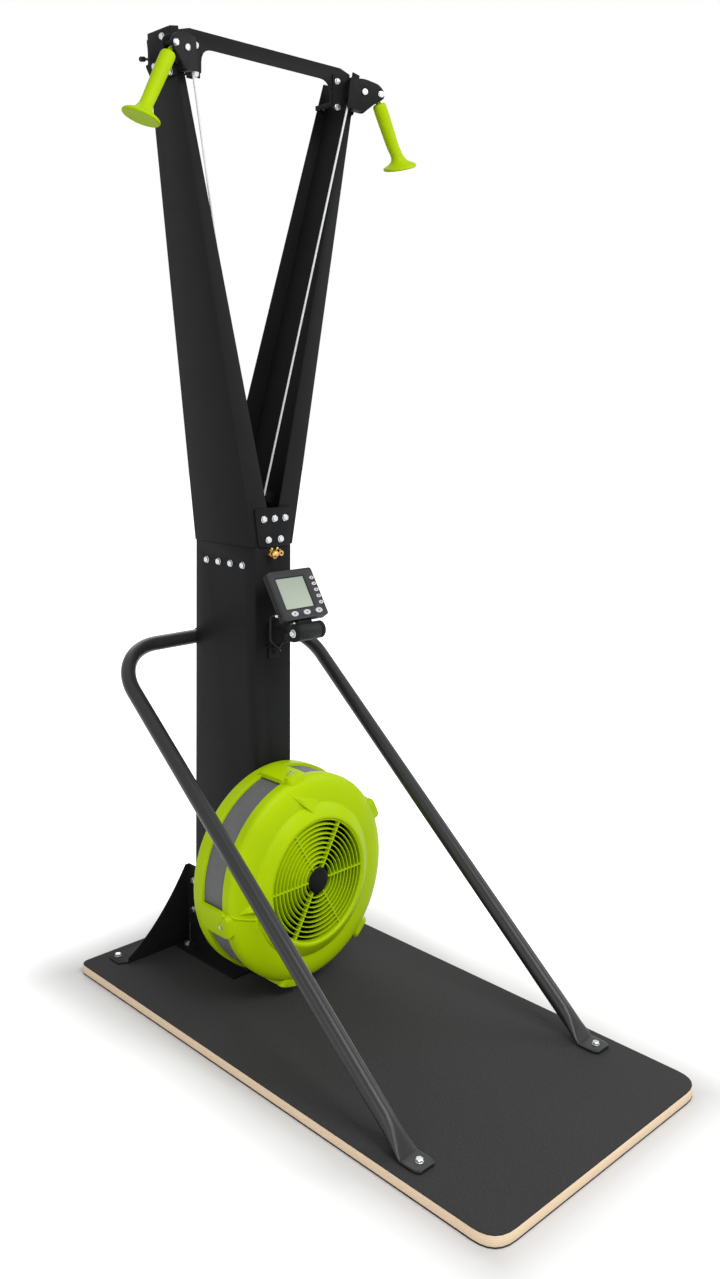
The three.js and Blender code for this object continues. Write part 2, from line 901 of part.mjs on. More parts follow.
const headBolts = [
  [plateFront + headLipWidth + headBoltInset, plateTop - headPlateRise - headPlateCorner],
  [plateRear - headBoltInset, lugTop - headBoltInset],
  [plateFront + headLipWidth, plateBottom + headBoltInset],
].map(([y, z]) => bolt(point(plateFace, y, z), outboard));
const studZ = lugTop + headBoltInset;
const studY = lugRoot - boltRadius;
const stud = rod(
  stopStudRadius,
  point(plateFace - boltSink, studY, studZ),
  point(plateFace + stopStudLength, studY, studZ),
);
const studCap = rod(
  stopCapRadius,
  point(plateFace + stopStudLength - boltSink, studY, studZ),
  point(plateFace + stopStudLength + stopCapLength, studY, studZ),
);
const headPlate = join(
  sideView(plateOutline, fitGap, plateFace),
  headLip,
  ...headBolts,
  stud,
  studCap,
);
pair("head_plate", headPlate.applyMatrix4(armFrame), blackSteel);

// Arm-top straps: bent bars from the crossbar's ends back to the rear flanges.
const strapX = armTopHalf - strapInset;
const strapTop = crossbarTop - strapDrop;
const strapBottom = strapTop - strapHeight;
const strapFoot = strapTop - strapTabHeight;
const strapFront = crossbarRear + fitGap;
const strapRear = armRear(strapTop) - sheet - fitGap;
const strapTabBoltX = strapBoltShares.map((share) => strapX + sheet + strapTabWidth * share);
const strap = join(
  block(strapX, strapX + sheet, strapFront, strapRear, strapBottom, strapTop),
  block(strapX, strapX + strapTabWidth, strapRear - sheet, strapRear, strapBottom, strapTop),
  block(strapX - strapHeight, strapX + sheet, strapFront, strapFront + sheet, strapFoot, strapTop),
  ...strapTabBoltX.map((x) =>
    bolt(point(x, strapRear - sheet, strapBottom + strapHeight / 2), forward, screwRadius, screwHeight),
  ),
);
pair("arm_top_strap", strap, blackSteel);

// Pulley heads. In the head's own frame x points outward, y rearward and z up, turned forward from
// the machine's axes. The origin is the front cheek's inner corner, at floor height.
const headTurn = headTurnDegrees * radians;
const headX = armTopHalf - headInset;
const headY = tabRear - headForward;
const headFrame = new THREE.Matrix4().makeRotationZ(-headTurn).setPosition(headX, headY, 0);
const cheekBottom = armTop - axleDrop - axleRise;
const axleZ = armTop - axleDrop;
const headMiddle = headDepth / 2;
const cheekOutline = (inset) => {
  const last = cheekOutlineShares.length - 1;
  return outline(
    cheekOutlineShares.map(([x, z], i) => {
      const shift = i === 0 || i >= last - 1 ? inset : 0;
      const radius = i === 0 || i === last ? 0 : cheekCorner;
      return [x * cheekLength + shift, cheekBottom + z * cheekHeight, radius];
    }),
  );
};
// The web closes the inboard side. It ends above a slot, through which the cord leaves.
const [[webTopX, webTopShare]] = cheekOutlineShares;
const [webFootX, webFootShare] = cheekOutlineShares.at(-1);
const cheekFoot = cheekBottom + webFootShare * cheekHeight;
const webBottom = cheekFoot + cordSlotHeight;
const webTop = cheekBottom + webTopShare * cheekHeight;
const webLean = (webTopX - webFootX) / (webTop - cheekFoot);
const webEdge = (z) => cheekLength * (webFootX + webLean * (z - cheekFoot));
const webReach = (x) => (headForward + Math.sin(headTurn) * x) / Math.cos(headTurn);
const webRing = (z) => {
  const near = webEdge(z);
  const far = near + sheet;
  return [
    point(near, 0, z),
    point(far, 0, z),
    point(far, webReach(far), z),
    point(near, webReach(near), z),
  ];
};
const web = loft([webRing(webBottom), webRing(webTop)]);

// The drive cord leaves the head pulley's outboard side and leans outward. A keeper sleeve on
// the nose bolt stands just outside the cord.
const cordLean = cordLeanDegrees * radians;
const cordNormal = [Math.cos(cordLean), Math.sin(cordLean)];
const keeperX = axleInset + keeperReach;
const keeperZ = axleZ - keeperDrop;
const keeperOffset = keeperReach * cordNormal[0] - keeperDrop * cordNormal[1];
const keeperRadius = keeperOffset - pulleyCordRadius - cordRadius - fitGap;
const rearCheekNear = headDepth - sheet;
const keeperAt = (y) => point(keeperX, y, keeperZ);
const keeper = join(
  rod(keeperRadius, keeperAt(sheet - boltSink), keeperAt(rearCheekNear - fitGap)),
  rod(keeperPinRadius, keeperAt(sheet), keeperAt(headDepth + screwHeight)),
  bolt(keeperAt(0), forward, axleHeadRadius * headTaperShare, boltHeight),
);
const axleHole = rod(
  axleRadius + fitGap,
  point(axleInset, -overrun, axleZ),
  point(axleInset, headDepth + overrun, axleZ),
  axleSides,
);
const pinHole = rod(
  keeperPinRadius + fitGap,
  keeperAt(rearCheekNear - overrun),
  keeperAt(headDepth + overrun),
);
const frontCheek = cut(frontView(cheekOutline(0), 0, sheet), axleHole);
const lipFoot = cheekBottom + boltSink;
const lipEnd = cheekOutlineShares.at(-2)[0] * cheekLength - cheekCorner;
const lipZ = (x) => THREE.MathUtils.mapLinear(x, webFootX * cheekLength, lipEnd, cheekFoot, lipFoot);
const cheekLip = frontView(
  outline([
    [cheekLipStart, lipZ(cheekLipStart)],
    [lipEnd, lipZ(lipEnd)],
    [lipEnd, lipZ(lipEnd) + sheet],
    [cheekLipStart, lipZ(cheekLipStart) + sheet],
  ]),
  0,
  rearCheekNear - fitGap,
);
const tabTop = webTop + tabRise;
const tabEdge = (z) => {
  const x = webEdge(z) + sheet;
  return headX + Math.cos(headTurn) * x + Math.sin(headTurn) * webReach(x);
};
const tabBottom = cheekFoot - tabDrop;
const tab = frontView(
  outline([
    [headX - tabReach, tabBottom],
    [tabEdge(cheekFoot), tabBottom],
    [tabEdge(webTop), webTop],
    [tabEdge(webTop), tabTop, headPlateCorner],
    [headX - tabReach, tabTop, headPlateCorner],
  ]),
  tabFront,
  tabRear,
);
const tabBolts = [tabBottom + boltRadius + fitGap, webTop - boltRadius].map((z) =>
  bolt(point(headX - tabBoltInset, tabFront, z), forward),
);
const housing = join(
  frontCheek.applyMatrix4(headFrame),
  web.applyMatrix4(headFrame),
  cheekLip.applyMatrix4(headFrame),
  keeper.applyMatrix4(headFrame),
  tab,
  ...tabBolts,
);
pair("pulley_housing", housing, blackSteel);

const rearCheekPlate = frontView(cheekOutline(cheekInset), rearCheekNear, headDepth);
const rearCheek = cut(rearCheekPlate, axleHole, pinHole).applyMatrix4(headFrame);
pair("rear_cheek", rearCheek, blackSteel);

const axle = turned(
  [
    [0, -fitGap - boltHeight],
    [axleHeadRadius * headTaperShare, -fitGap - boltHeight],
    [axleHeadRadius, -fitGap],
    [axleRadius, -fitGap],
    [axleRadius, headDepth + fitGap],
    [axleHeadRadius, headDepth + fitGap],
    [axleHeadRadius * headTaperShare, headDepth + fitGap + boltHeight],
    [0, headDepth + fitGap + boltHeight],
  ],
  axleSides,
);
pair("pulley_axle", axle.translate(axleInset, 0, axleZ).applyMatrix4(headFrame), steel);

const grooveRadius = pulleyCordRadius - cordRadius - fitGap;
const pulley = turned(
  [
    [axleRadius + fitGap, headMiddle - pulleyWidth / 2],
    [pulleyRadius, headMiddle - pulleyWidth / 2],
    [pulleyRadius, headMiddle - pulleyWidth / 2 + pulleyRim],
    [grooveRadius, headMiddle - pulleyFloor / 2],
    [grooveRadius, headMiddle + pulleyFloor / 2],
    [pulleyRadius, headMiddle + pulleyWidth / 2 - pulleyRim],
    [pulleyRadius, headMiddle + pulleyWidth / 2],
    [axleRadius + fitGap, headMiddle + pulleyWidth / 2],
  ],
  bossSides,
);
pair("head_pulley", pulley.translate(axleInset, 0, axleZ).applyMatrix4(headFrame), blackPlastic);

// Handles: turned grips with a flared pommel, which hang on the cords.
const inHead = (x, z) => point(x, headMiddle, z).applyMatrix4(headFrame);
const cordOff = inHead(
  axleInset + pulleyCordRadius * cordNormal[0],
  axleZ + pulleyCordRadius * cordNormal[1],
);
const cordDown = inHead(cordNormal[1], -cordNormal[0]).sub(inHead(0, 0));
const neckTop = cordOff.clone().addScaledVector(cordDown, neckDrop);
// A direction that hangs down, leans outward and then swings forward.
const hanging = (leanDegrees, swingDegrees) => {
  const out = Math.sin(leanDegrees * radians);
  const swing = swingDegrees * radians;
  return point(out * Math.cos(swing), -out * Math.sin(swing), -Math.cos(leanDegrees * radians));
};
const handleDown = hanging(handleLeanDegrees, handleSwingDegrees);
const grip = turned(
  [
    [0, -handleNeckLength],
    [handleNeckRadius, -handleNeckLength],
    [handleNeckRadius + handleNeckFlare, 0],
    ...handleProfileShares.map(([r, s]) => [r * handleRadius, s * handleLength]),
    [0, handleProfileShares.at(-1)[1] * handleLength],
  ],
  handleSides,
);
// The pommel's face is nearer to level than square to the grip.
const pommel = turned(
  [
    [0, -pommelFlare],
    ...pommelFlareShares.map(([r, s]) => [r * pommelRadius, -s * pommelFlare]),
    [pommelRadius, -pommelRim],
    [pommelRadius, -pommelEdge],
    [pommelRadius - pommelEdge, 0],
    [0, 0],
  ],
  handleSides,
);
const along = (direction) => new THREE.Quaternion().setFromUnitVectors(rearward, direction);
grip.translate(0, handleNeckLength, 0).applyQuaternion(along(handleDown));
pommel.applyQuaternion(along(hanging(pommelLeanDegrees, pommelSwingDegrees)));
const pommelAt = handleDown.clone().multiplyScalar(handleNeckLength + handleLength);
const handle = join(grip, pommel.translate(...pommelAt)).translate(...neckTop);
pair("handle", handle, limePlastic);

// Fan shell: a rear pan on the column, a mesh band, and a rounded front shell with a raised ring.
const atFan = (geometry) => geometry.translate(0, 0, fanZ);
const rimFront = fanRear - rimDepth;
const shellRear = rimFront - meshShow;
const shoulderFront = shellRear - shellDepth;
const meshOuter = shellRadius - shellWall - fitGap;
const rimInner = meshOuter + fitGap;
const rearPan = turned(
  [
    [rimInner, rimFront],
    [rimRadius, rimFront],
    [rimRadius, fanRear - rimChamfer],
    [rimRadius - rimChamfer, fanRear],
    [bearingRadius + fitGap, fanRear],
    [bearingRadius + fitGap, fanRear - shellWall],
    [rimInner, fanRear - shellWall],
  ],
  fanSides,
);
// The lugs bridge the mesh band and screw to the front shell's edge.
const lugInner = shellRadius + fitGap;
const lugRing = turned(
  [
    [lugInner, shellRear - lugLap],
    [lugInner + lugThickness, shellRear - lugLap],
    [lugInner + lugThickness, rimFront + rimChamfer],
    [lugInner, rimFront + rimChamfer],
  ],
  fanSides,
);
const fanFrame = (degrees) => {
  const radial = point(Math.cos(degrees * radians), 0, Math.sin(degrees * radians));
  return new THREE.Matrix4().makeBasis(rearward.clone().cross(radial), rearward, radial);
};
const lugPlan = outline([
  [-lugWidth / 2, shellRear - lugLap - fitGap, lugFrontCorner],
  [lugWidth / 2, shellRear - lugLap - fitGap, lugFrontCorner],
  [lugWidth / 2, fanRear],
  [-lugWidth / 2, fanRear],
]);
const lugs = lugDegrees.map((degrees) => {
  const stamp = extruded(lugPlan, rimRadius).translate(0, 0, rimRadius / 2);
  return common(lugRing, stamp.applyMatrix4(fanFrame(degrees)));
});
const lugScrews = lugDegrees.flatMap((degrees) => {
  const foot = point(0, shellRear - lugLap + lugScrewInset / 2, lugInner + lugThickness - boltSink);
  const top = foot.clone().setZ(lugInner + lugThickness + lugBossHeight);
  const boss = rod(lugBossRadius, foot, top);
  return [boss, bolt(top, up, screwRadius, screwHeight)].map((made) =>
    made.applyMatrix4(fanFrame(degrees)),
  );
});
piece("fan_rear_shell", atFan(join(rearPan, ...lugs, ...lugScrews)), limePlastic);

const meshBand = turned(
  [
    [meshOuter - meshThickness, shellRear - meshLap],
    [meshOuter, shellRear - meshLap],
    [meshOuter, rimFront + meshLap],
    [meshOuter - meshThickness, rimFront + meshLap],
  ],
  fanSides,
);
piece("fan_mesh_band", atFan(meshBand), greyMesh);

// The front shell's skin at an offset from its outside, from its rear edge to the opening. The
// inside is hidden and takes fewer steps.
const shoulderRoot = shellRadius - shoulderReach;
const ringFront = shoulderFront - ringDepth;
const skin = (offset, steps = shoulderSteps) => {
  const points = [[shellRadius - offset, shellRear]];
  for (let step = 0; step <= steps; step++) {
    const angle = (Math.PI / 2) * (step / steps);
    points.push([
      shoulderRoot + (shoulderReach - offset) * Math.cos(angle),
      shoulderFront + shoulderDepth - (shoulderDepth - offset) * Math.sin(angle),
    ]);
  }
  points.push([ringRadius - offset, shoulderFront + offset - shellWall]);
  points.push([openingRadius + openingEdge, ringFront + offset]);
  points.push([openingRadius, ringFront + openingEdge / 2 + offset]);
  return points;
};
const shellSkin = turned([...skin(0), ...skin(shellWall, shoulderSteps / 2).reverse()], fanSides);
// Each corner of a scoop lies along the radius, across it and proud of the shoulder.
const scoops = scoopDegrees.map((degrees) => {
  const corners = scoopCornerShares.map(([along, across, rise]) =>
    point(across * scoopWidth, shoulderFront - rise * scoopHeight, ringRadius + along * scoopLength),
  );
  return new ConvexGeometry(corners).applyMatrix4(fanFrame(degrees));
});
const ledgeSkin = turned([...skin(-ledgeHeight), ...skin(shellWall / 2).reverse()], fanSides);
const ledgeSlab = block(
  -ledgeWidth / 2,
  ledgeWidth / 2,
  ringFront,
  shellRear - lugLap - boltHeight,
  ringRadius + shellWall,
  rimRadius,
).applyMatrix4(fanFrame(ledgeDegrees));
const ledge = common(ledgeSkin, ledgeSlab);
piece("fan_front_shell", atFan(join(shellSkin, ...scoops, ledge)), limePlastic);

// Grille: slanted rings on six spokes round a small hub.
const grilleFront = ringFront + openingEdge / 2;
const grilleRear = grilleFront + grilleDepth;
const grilleOuter = openingRadius - fitGap;
const ringPitch = (grilleOuter - grilleRingWidth - grilleHubRadius) / (grilleRingCount + 1);
const slantedRing = (radius) =>
  turned(
    [
      [radius, grilleFront],
      [radius + grilleRingWidth, grilleFront],
      [radius + grilleRingWidth / 2 + grilleSlant, grilleRear],
    ],
    grilleSides,
  );
const grilleRings = [];
for (let ring = 1; ring <= grilleRingCount; ring++)
  grilleRings.push(slantedRing(grilleHubRadius + ringPitch * ring));
const grilleRim = turned(
  [
    [grilleOuter - grilleRingWidth, grilleFront],
    [grilleOuter, grilleFront],
    [grilleOuter, grilleRear],
    [grilleOuter - grilleRingWidth, grilleRear],
  ],
  fanSides,
);
const grilleHub = rod(
  grilleHubRadius,
  point(0, grilleFront + grilleHubInset, 0),
  point(0, grilleRear, 0),
  bossSides,
);
const spokes = [];
for (let i = 0; i < spokeCount; i++) {
  const spoke = block(
    -spokeWidth / 2,
    spokeWidth / 2,
    grilleFront + grilleHubInset,
    grilleRear + fitGap,
    grilleHubRadius / 2,
    grilleOuter - grilleRingWidth / 2,
  );
  spokes.push(spoke.applyMatrix4(fanFrame((360 * i) / spokeCount)));
}
piece("fan_grille", atFan(join(grilleHub, grilleRim, ...grilleRings, ...spokes)), limePlastic);

const capRear = grilleFront + grilleHubInset - fitGap;
const hubCap = turned(
  [
    [0, capRear],
    ...hubCapProfileShares.map(([r, depth]) => [r * hubCapRadius, capRear - depth * hubCapDepth]),
    [0, capRear - hubCapDepth],
  ],
  bossSides,
);
piece("fan_hub_cap", atFan(hubCap), blackPlastic);

// Fan wheel: curved blades on a back plate and hub.
const plateRearY = fanRear - wheelRearGap;
const plateFrontY = plateRearY - wheelPlate;
const bladeFront = plateRearY - wheelWidth;
const blades = [];
for (let i = 0; i < bladeCount; i++) {
  const outerSide = [];
  const innerSide = [];
  for (let step = 0; step <= bladeSteps; step++) {
    const share = step / bladeSteps;
    const radius = bladeRoot + (wheelRadius - bladeRoot) * share;
    const turn = (2 * Math.PI * i) / bladeCount - bladeSweepDegrees * radians * share * share;
    const half = bladeThickness / 2 / radius;
    for (const [list, angle] of [
      [outerSide, turn + half],
      [innerSide, turn - half],
    ])
      list.push([radius * Math.cos(angle), radius * Math.sin(angle)]);
  }
  const blade = outline([...innerSide, ...outerSide.reverse()]);
  blades.push(frontView(blade, bladeFront, plateFrontY + wheelPlate / 2));
}
const hubFront = bladeFront - wheelHubReach;
const wheelBody = turned(
  [
    [shaftRadius + fitGap, hubFront],
    [wheelHubRadius, hubFront],
    [wheelHubRadius, plateFrontY],
    [wheelRadius, plateFrontY],
    [wheelRadius, plateRearY],
    [shaftRadius + fitGap, plateRearY],
  ],
  wheelSides,
);
piece("fan_wheel", atFan(join(wheelBody, ...blades)), blackPlastic);

// Shaft with its front nut, two cord drums behind the column's front wall, and two bearings.
const flangeFront = columnFront + sheet + fitGap;
const flangeRear = flangeFront + bearingFlange;
const bearing = turned(
  [
    [shaftRadius + fitGap, fanRear - bearingFront],
    [bearingRadius, fanRear - bearingFront],
    [bearingRadius, flangeFront],
    [bearingFlangeRadius, flangeFront],
    [bearingFlangeRadius, flangeRear],
    [shaftRadius + fitGap, flangeRear],
  ],
  bossSides,
);
piece("front_bearing", atFan(bearing), steel);

const drumMiddle = columnFront + sheet + drumSetback + drumWidth;
const drumMiddles = { right: drumMiddle - drumPitch / 2, left: drumMiddle + drumPitch / 2 };
const drumBack = drumMiddles.left + drumWidth / 2;
const supportFront = drumBack + supportGap;
const supportRear = supportFront + supportBossLength;
const nutRear = hubFront - fitGap;
const shaft = turned(
  [
    [0, nutRear - shaftNutLength - shaftTip],
    [shaftRadius, nutRear - shaftNutLength - shaftTip],
    [shaftRadius, nutRear - shaftNutLength],
    [shaftNutRadius, nutRear - shaftNutLength],
    [shaftNutRadius, nutRear],
    [shaftRadius, nutRear],
    [shaftRadius, flangeRear + fitGap],
    [collarRadius, flangeRear + fitGap],
    [collarRadius, drumMiddles.right - drumWidth / 2 - fitGap],
    [shaftRadius, drumMiddles.right - drumWidth / 2 - fitGap],
    [shaftRadius, supportRear],
    [0, supportRear],
  ],
  drumSides,
);
piece("fan_shaft", atFan(shaft), steel);

const drumCore = drumCordRadius - cordRadius - fitGap;
const drumBore = (shaftRadius + fitGap) / Math.cos(Math.PI / drumSides);
for (const [side, middle] of Object.entries(drumMiddles)) {
  const near = middle - drumWidth / 2;
  const far = middle + drumWidth / 2;
  const drum = turned(
    [
      [drumBore, near],
      [drumFlangeRadius, near],
      [drumFlangeRadius, near + drumFlange],
      [drumCore, near + drumFlange],
      [drumCore, far - drumFlange],
      [drumFlangeRadius, far - drumFlange],
      [drumFlangeRadius, far],
      [drumBore, far],
    ],
    drumSides,
  );
  piece(`cord_drum_${side}`, atFan(drum), blackPlastic);
}

// A folded bracket between the column's sides, drawn in plan.
const bracketPlan = (half, near, legDepth) =>
  outline([
    [-half, near],
    [half, near],
    [half, near + legDepth],
    [half - sheet, near + legDepth],
    [half - sheet, near + sheet],
    [-half + sheet, near + sheet],
    [-half + sheet, near + legDepth],
    [-half, near + legDepth],
  ]);
const supportPlate = plan(
  bracketPlan(columnInner - fitGap, supportFront, supportLegDepth),
  fanZ - supportHeight / 2,
  fanZ + supportHeight / 2,
);
const supportBoss = rod(
  supportBossRadius,
  point(0, supportFront, fanZ),
  point(0, supportRear, fanZ),
  bossSides,
);
const supportBore = rod(
  shaftRadius + fitGap,
  point(0, supportFront - overrun, fanZ),
  point(0, supportRear + overrun, fanZ),
  bossSides,
);
piece("shaft_support", cut(join(supportPlate, supportBoss), supportBore), blackSteel);

// Cord guide: a bracket in the splice channel with a smooth post for each cord.
const guidePlateNear = columnFront + guidePlateSetback;
const guideHalf = channelHalf - sheet - fitGap;
const guideZ = columnTop + guidePostRise;
const guideCordX = drumCordRadius;
const guidePostX = guideCordX + cordRadius + fitGap + guidePostRadius;
const guideCordY = guidePlateNear - guidePostLength / 2 - guidePostLip / 2;
const guidePosts = [-1, 1].flatMap((side) => [
  rod(
    guidePostRadius,
    point(side * guidePostX, guidePlateNear - guidePostLength, guideZ),
    point(side * guidePostX, guidePlateNear + sheet / 2, guideZ),
    bossSides,
  ),
  rod(
    guidePostRadius + guidePostLip,
    point(side * guidePostX, guidePlateNear - guidePostLength - guidePostLip, guideZ),
    point(side * guidePostX, guidePlateNear - guidePostLength, guideZ),
    bossSides,
  ),
]);
const guideBracket = join(
  plan(bracketPlan(guideHalf, guidePlateNear, guideLegDepth), columnTop, channelTop),
  block(
    -guideHalf,
    guideHalf,
    guidePlateNear,
    guidePlateNear + sheet,
    columnTop,
    columnTop + guidePlateRise,
  ),
  ...guidePosts,
);
piece("cord_guide_bracket", guideBracket, blackSteel);

// Drive cords: from the handle over the head pulley, past the guide post and down to the drum.
function driveCord(side) {
  const sign = side === "right" ? 1 : -1;
  const mirrored = (place) => point(place.x * sign, place.y, place.z);
  const guide = point(guideCordX, guideCordY, guideZ);
  const head = inHead(axleInset, axleZ);
  const outX = point(Math.cos(headTurn), -Math.sin(headTurn), 0);
  const toGuide = guide.clone().sub(head);
  const low = Math.atan2(toGuide.z, toGuide.dot(outX)) + 2 * Math.PI;
  const span = Math.hypot(toGuide.z, toGuide.dot(outX));
  const inboardNormal = low - Math.acos(pulleyCordRadius / span);
  const middle = (cordLean + inboardNormal) / 2;
  const reach = pulleyCordRadius / Math.cos((inboardNormal - cordLean) / 2);
  const overPulley = inHead(axleInset + reach * Math.cos(middle), axleZ + reach * Math.sin(middle));
  const cordEnd = neckTop.clone().addScaledVector(cordDown, -fitGap);
  const atDrum = point(drumCordRadius, drumMiddles[side], fanZ);
  const postBend = guidePostRadius + fitGap + cordRadius;
  return tube(
    bentPoints(
      mirrored(cordEnd),
      [
        { at: mirrored(overPulley), radius: pulleyCordRadius },
        { at: mirrored(guide), radius: postBend },
      ],
      atDrum,
      cordBendSteps,
    ),
    cordRadius,
    cordSides,
  );
}
for (const side of ["right", "left"]) piece(`drive_cord_${side}`, driveCord(side), whiteCord);

// Cord anchors: brass barrels on the column front, each with a set screw on top.
const anchorZ = columnTop - anchorDrop;
const anchorRear = columnFront - fitGap;
const anchorBody = join(
  rod(
    anchorRadius,
    point(anchorSpread, anchorRear - anchorLength, anchorZ),
    point(anchorSpread, anchorRear, anchorZ),
    bossSides,
  ),
  rod(
    anchorScrewRadius,
    point(anchorSpread, anchorRear - anchorLength / 2, anchorZ),
    point(anchorSpread, anchorRear - anchorLength / 2, anchorZ + anchorRadius + anchorScrewLength),
  ),
);
const anchorHole = rod(
  anchorBore,
  point(anchorSpread, anchorRear - anchorLength - overrun, anchorZ),
  point(anchorSpread, anchorRear - anchorLength + anchorBoreDepth, anchorZ),
);
pair("cord_anchor", cut(anchorBody, anchorHole), brass);

// Rails: bent tubes with flattened feet on the platform, which meet in a saddle behind the column.
const railRadius = railDiameter / 2;
const railY = columnRear + fitGap + railRadius;
const railFootHalf = platformWidth / 2 - railFootInset;
const railFootY = railFootSetback - platformLength / 2;
const railCornerHalf = platformWidth / 2 - railCornerInset;
const footTop = footPlane + railFootThickness;
const footMiddle = footPlane + railFootThickness / 2;
const railFoot = point(railFootHalf, railFootY, footMiddle);
const railCorner = point(railCornerHalf, railY, railHeight);
const legRun = railCorner.clone().sub(railFoot).normalize();
const legStart = railFoot.clone().addScaledVector(legRun, railFootTaper);
const railTube = tube(
  bentPoints(
    legStart,
    [{ at: railCorner, radius: railBend }],
    point(fitGap / 2, railY, railHeight),
    railBendSteps,
  ),
  railRadius,
  railSides,
);
// The foot changes from a round to a flat section, which lies on the mat.
const legSide = point(legRun.y, -legRun.x, 0).normalize();
const sectionRing = (centre, side, rise, halfWidth, halfHeight, roundness) => {
  const ring = [];
  for (let i = 0; i < railSides; i++) {
    const angle = (2 * Math.PI * i) / railSides;
    const bulge = (value) => Math.sign(value) * Math.abs(value) ** roundness;
    ring.push(
      centre
        .clone()
        .addScaledVector(side, halfWidth * bulge(Math.cos(angle)))
        .addScaledVector(rise, halfHeight * bulge(Math.sin(angle))),
    );
  }
  return ring;
};
const legRise = legSide.clone().cross(legRun);
const insideTube = legStart.clone().addScaledVector(legRun, overrun);
const justOutside = legStart.clone().addScaledVector(legRun, -boltSink);
const footTip = point(railFootHalf, railFootY - railFootLength, footMiddle);
const footFront = point(railFootHalf, railFootY - railFootLength / 2, footMiddle);
const flatRing = (centre, width) =>
  sectionRing(centre, outboard, up, width / 2, railFootThickness / 2, railFootRoundness);
const footRings = [
  sectionRing(insideTube, legSide, legRise, railRadius - sheet, railRadius - sheet, 1),
  sectionRing(justOutside, legSide, legRise, railRadius, railRadius, 1),
  flatRing(railFoot, railFootWidth),
  flatRing(footFront, railFootWidth),
  flatRing(footTip, railFootTipWidth),
];
const railFootBolt = bolt(point(railFootHalf, railFootY - railFootBoltInset, footTop), up);
pair("rail", join(railTube, loft(footRings), railFootBolt), blackSteel);

// Saddle: a strap with two bolted flanges that holds both rail ends against the column.
const saddleInner = railRadius + fitGap;
const saddleOuter = saddleInner + sheet;
const saddleFace = columnRear + fitGap;
const saddleShape = new THREE.Shape();
const saddleArc = (radius, from, to) => {
  const points = [];
  for (let step = 0; step <= saddleSteps; step++) {
    const angle = from + ((to - from) * step) / saddleSteps;
    points.push([railY + radius * Math.cos(angle), railHeight + radius * Math.sin(angle)]);
  }
  return points;
};
const innerStart = Math.acos((saddleFace + sheet - railY) / saddleInner);
const outerStart = Math.acos((saddleFace + sheet - railY) / saddleOuter);
const saddlePoints = [
  [saddleFace, railHeight + saddleOuter + saddleFlange],
  [saddleFace, railHeight + saddleInner * Math.sin(innerStart)],
  ...saddleArc(saddleInner, innerStart, -innerStart),
  [saddleFace, railHeight - saddleInner * Math.sin(innerStart)],
  [saddleFace, railHeight - saddleOuter - saddleFlange],
  [saddleFace + sheet, railHeight - saddleOuter - saddleFlange],
  ...saddleArc(saddleOuter, -outerStart, outerStart),
  [saddleFace + sheet, railHeight + saddleOuter + saddleFlange],
];
saddleShape.setFromPoints(saddlePoints.map(([y, z]) => new THREE.Vector2(y, z)));
const saddleBolts = [-1, 1].flatMap((side) =>
  [-1, 1].map((level) => {
    const z = railHeight + level * (saddleOuter + saddleFlange / 2);
    return bolt(point(side * saddleBoltSpread, saddleFace + sheet, z), rearward);
  }),
);
const saddle = sideView(saddleShape, -saddleWidth / 2, saddleWidth / 2);
piece("rail_saddle", join(saddle, ...saddleBolts), blackSteel);

// Monitor. In its own frame x is to the right, y up the face and z out of the face.
const monitorLean = monitorLeanDegrees * radians;
const monitor = new THREE.Group();
monitor.position.set(0, columnFront - monitorSetback, monitorRise);
monitor.rotation.x = Math.PI / 2 - monitorLean;
machine.add(monitor);
const faceOutline = (inset) =>
  outline(
    [
      [-1, -1],
      [1, -1],
      [1, 1],
      [-1, 1],
    ].map(([x, y]) => [
      x * (monitorWidth / 2 - inset),
      y * (monitorHeight / 2 - inset),
      monitorCorner,
    ]),
  );
const windowOutline = (grow) =>
  outline(
    [
      [-1, -1],
      [1, -1],
      [1, 1],
      [-1, 1],
    ].map(([x, y]) => [
      windowShift + x * (windowWidth / 2 + grow),
      windowRise + y * (windowHeight / 2 + grow),
    ]),
  );
const ellipse = ({ x, y, width, height }, grow) => {
  const shape = new THREE.Shape();
  shape.absellipse(x, y, width / 2 + grow, height / 2 + grow, 0, 2 * Math.PI);
  return shape;
};
const buttons = [
  ...lowerButtonShares.map((share, i) => ({
    name: `button_lower_${i + 1}`,
    x: share * monitorWidth,
    y: -lowerButtonDrop,
    width: lowerButtonWidth,
    height: lowerButtonHeight,
  })),
  ...sideButtonShares.map((share, i) => ({
    name: `button_side_${i + 1}`,
    x: sideButtonReach,
    y: share * monitorHeight,
    width: sideButtonWidth,
    height: sideButtonHeight,
  })),
];
const ellipseSteps = buttonSides / 2;
const bezel = cut(
  plan(faceOutline(0), -bezelDepth, 0, monitorCornerSteps),
  plan(windowOutline(fitGap), -bezelDepth - overrun, overrun),
  ...buttons.map((button) =>
    plan(ellipse(button, fitGap), -bezelDepth - overrun, overrun, ellipseSteps),
  ),
);
piece("monitor_bezel", bezel, blackPlastic, monitor);
const windowBlock = plan(windowOutline(0), -bezelDepth, -windowRecess);
piece("monitor_window", windowBlock, display, monitor);
for (const button of buttons) {
  const cap = plan(ellipse(button, 0), -buttonBack, buttonProud, ellipseSteps);
  piece(button.name, cap, buttonGrey, monitor);
}
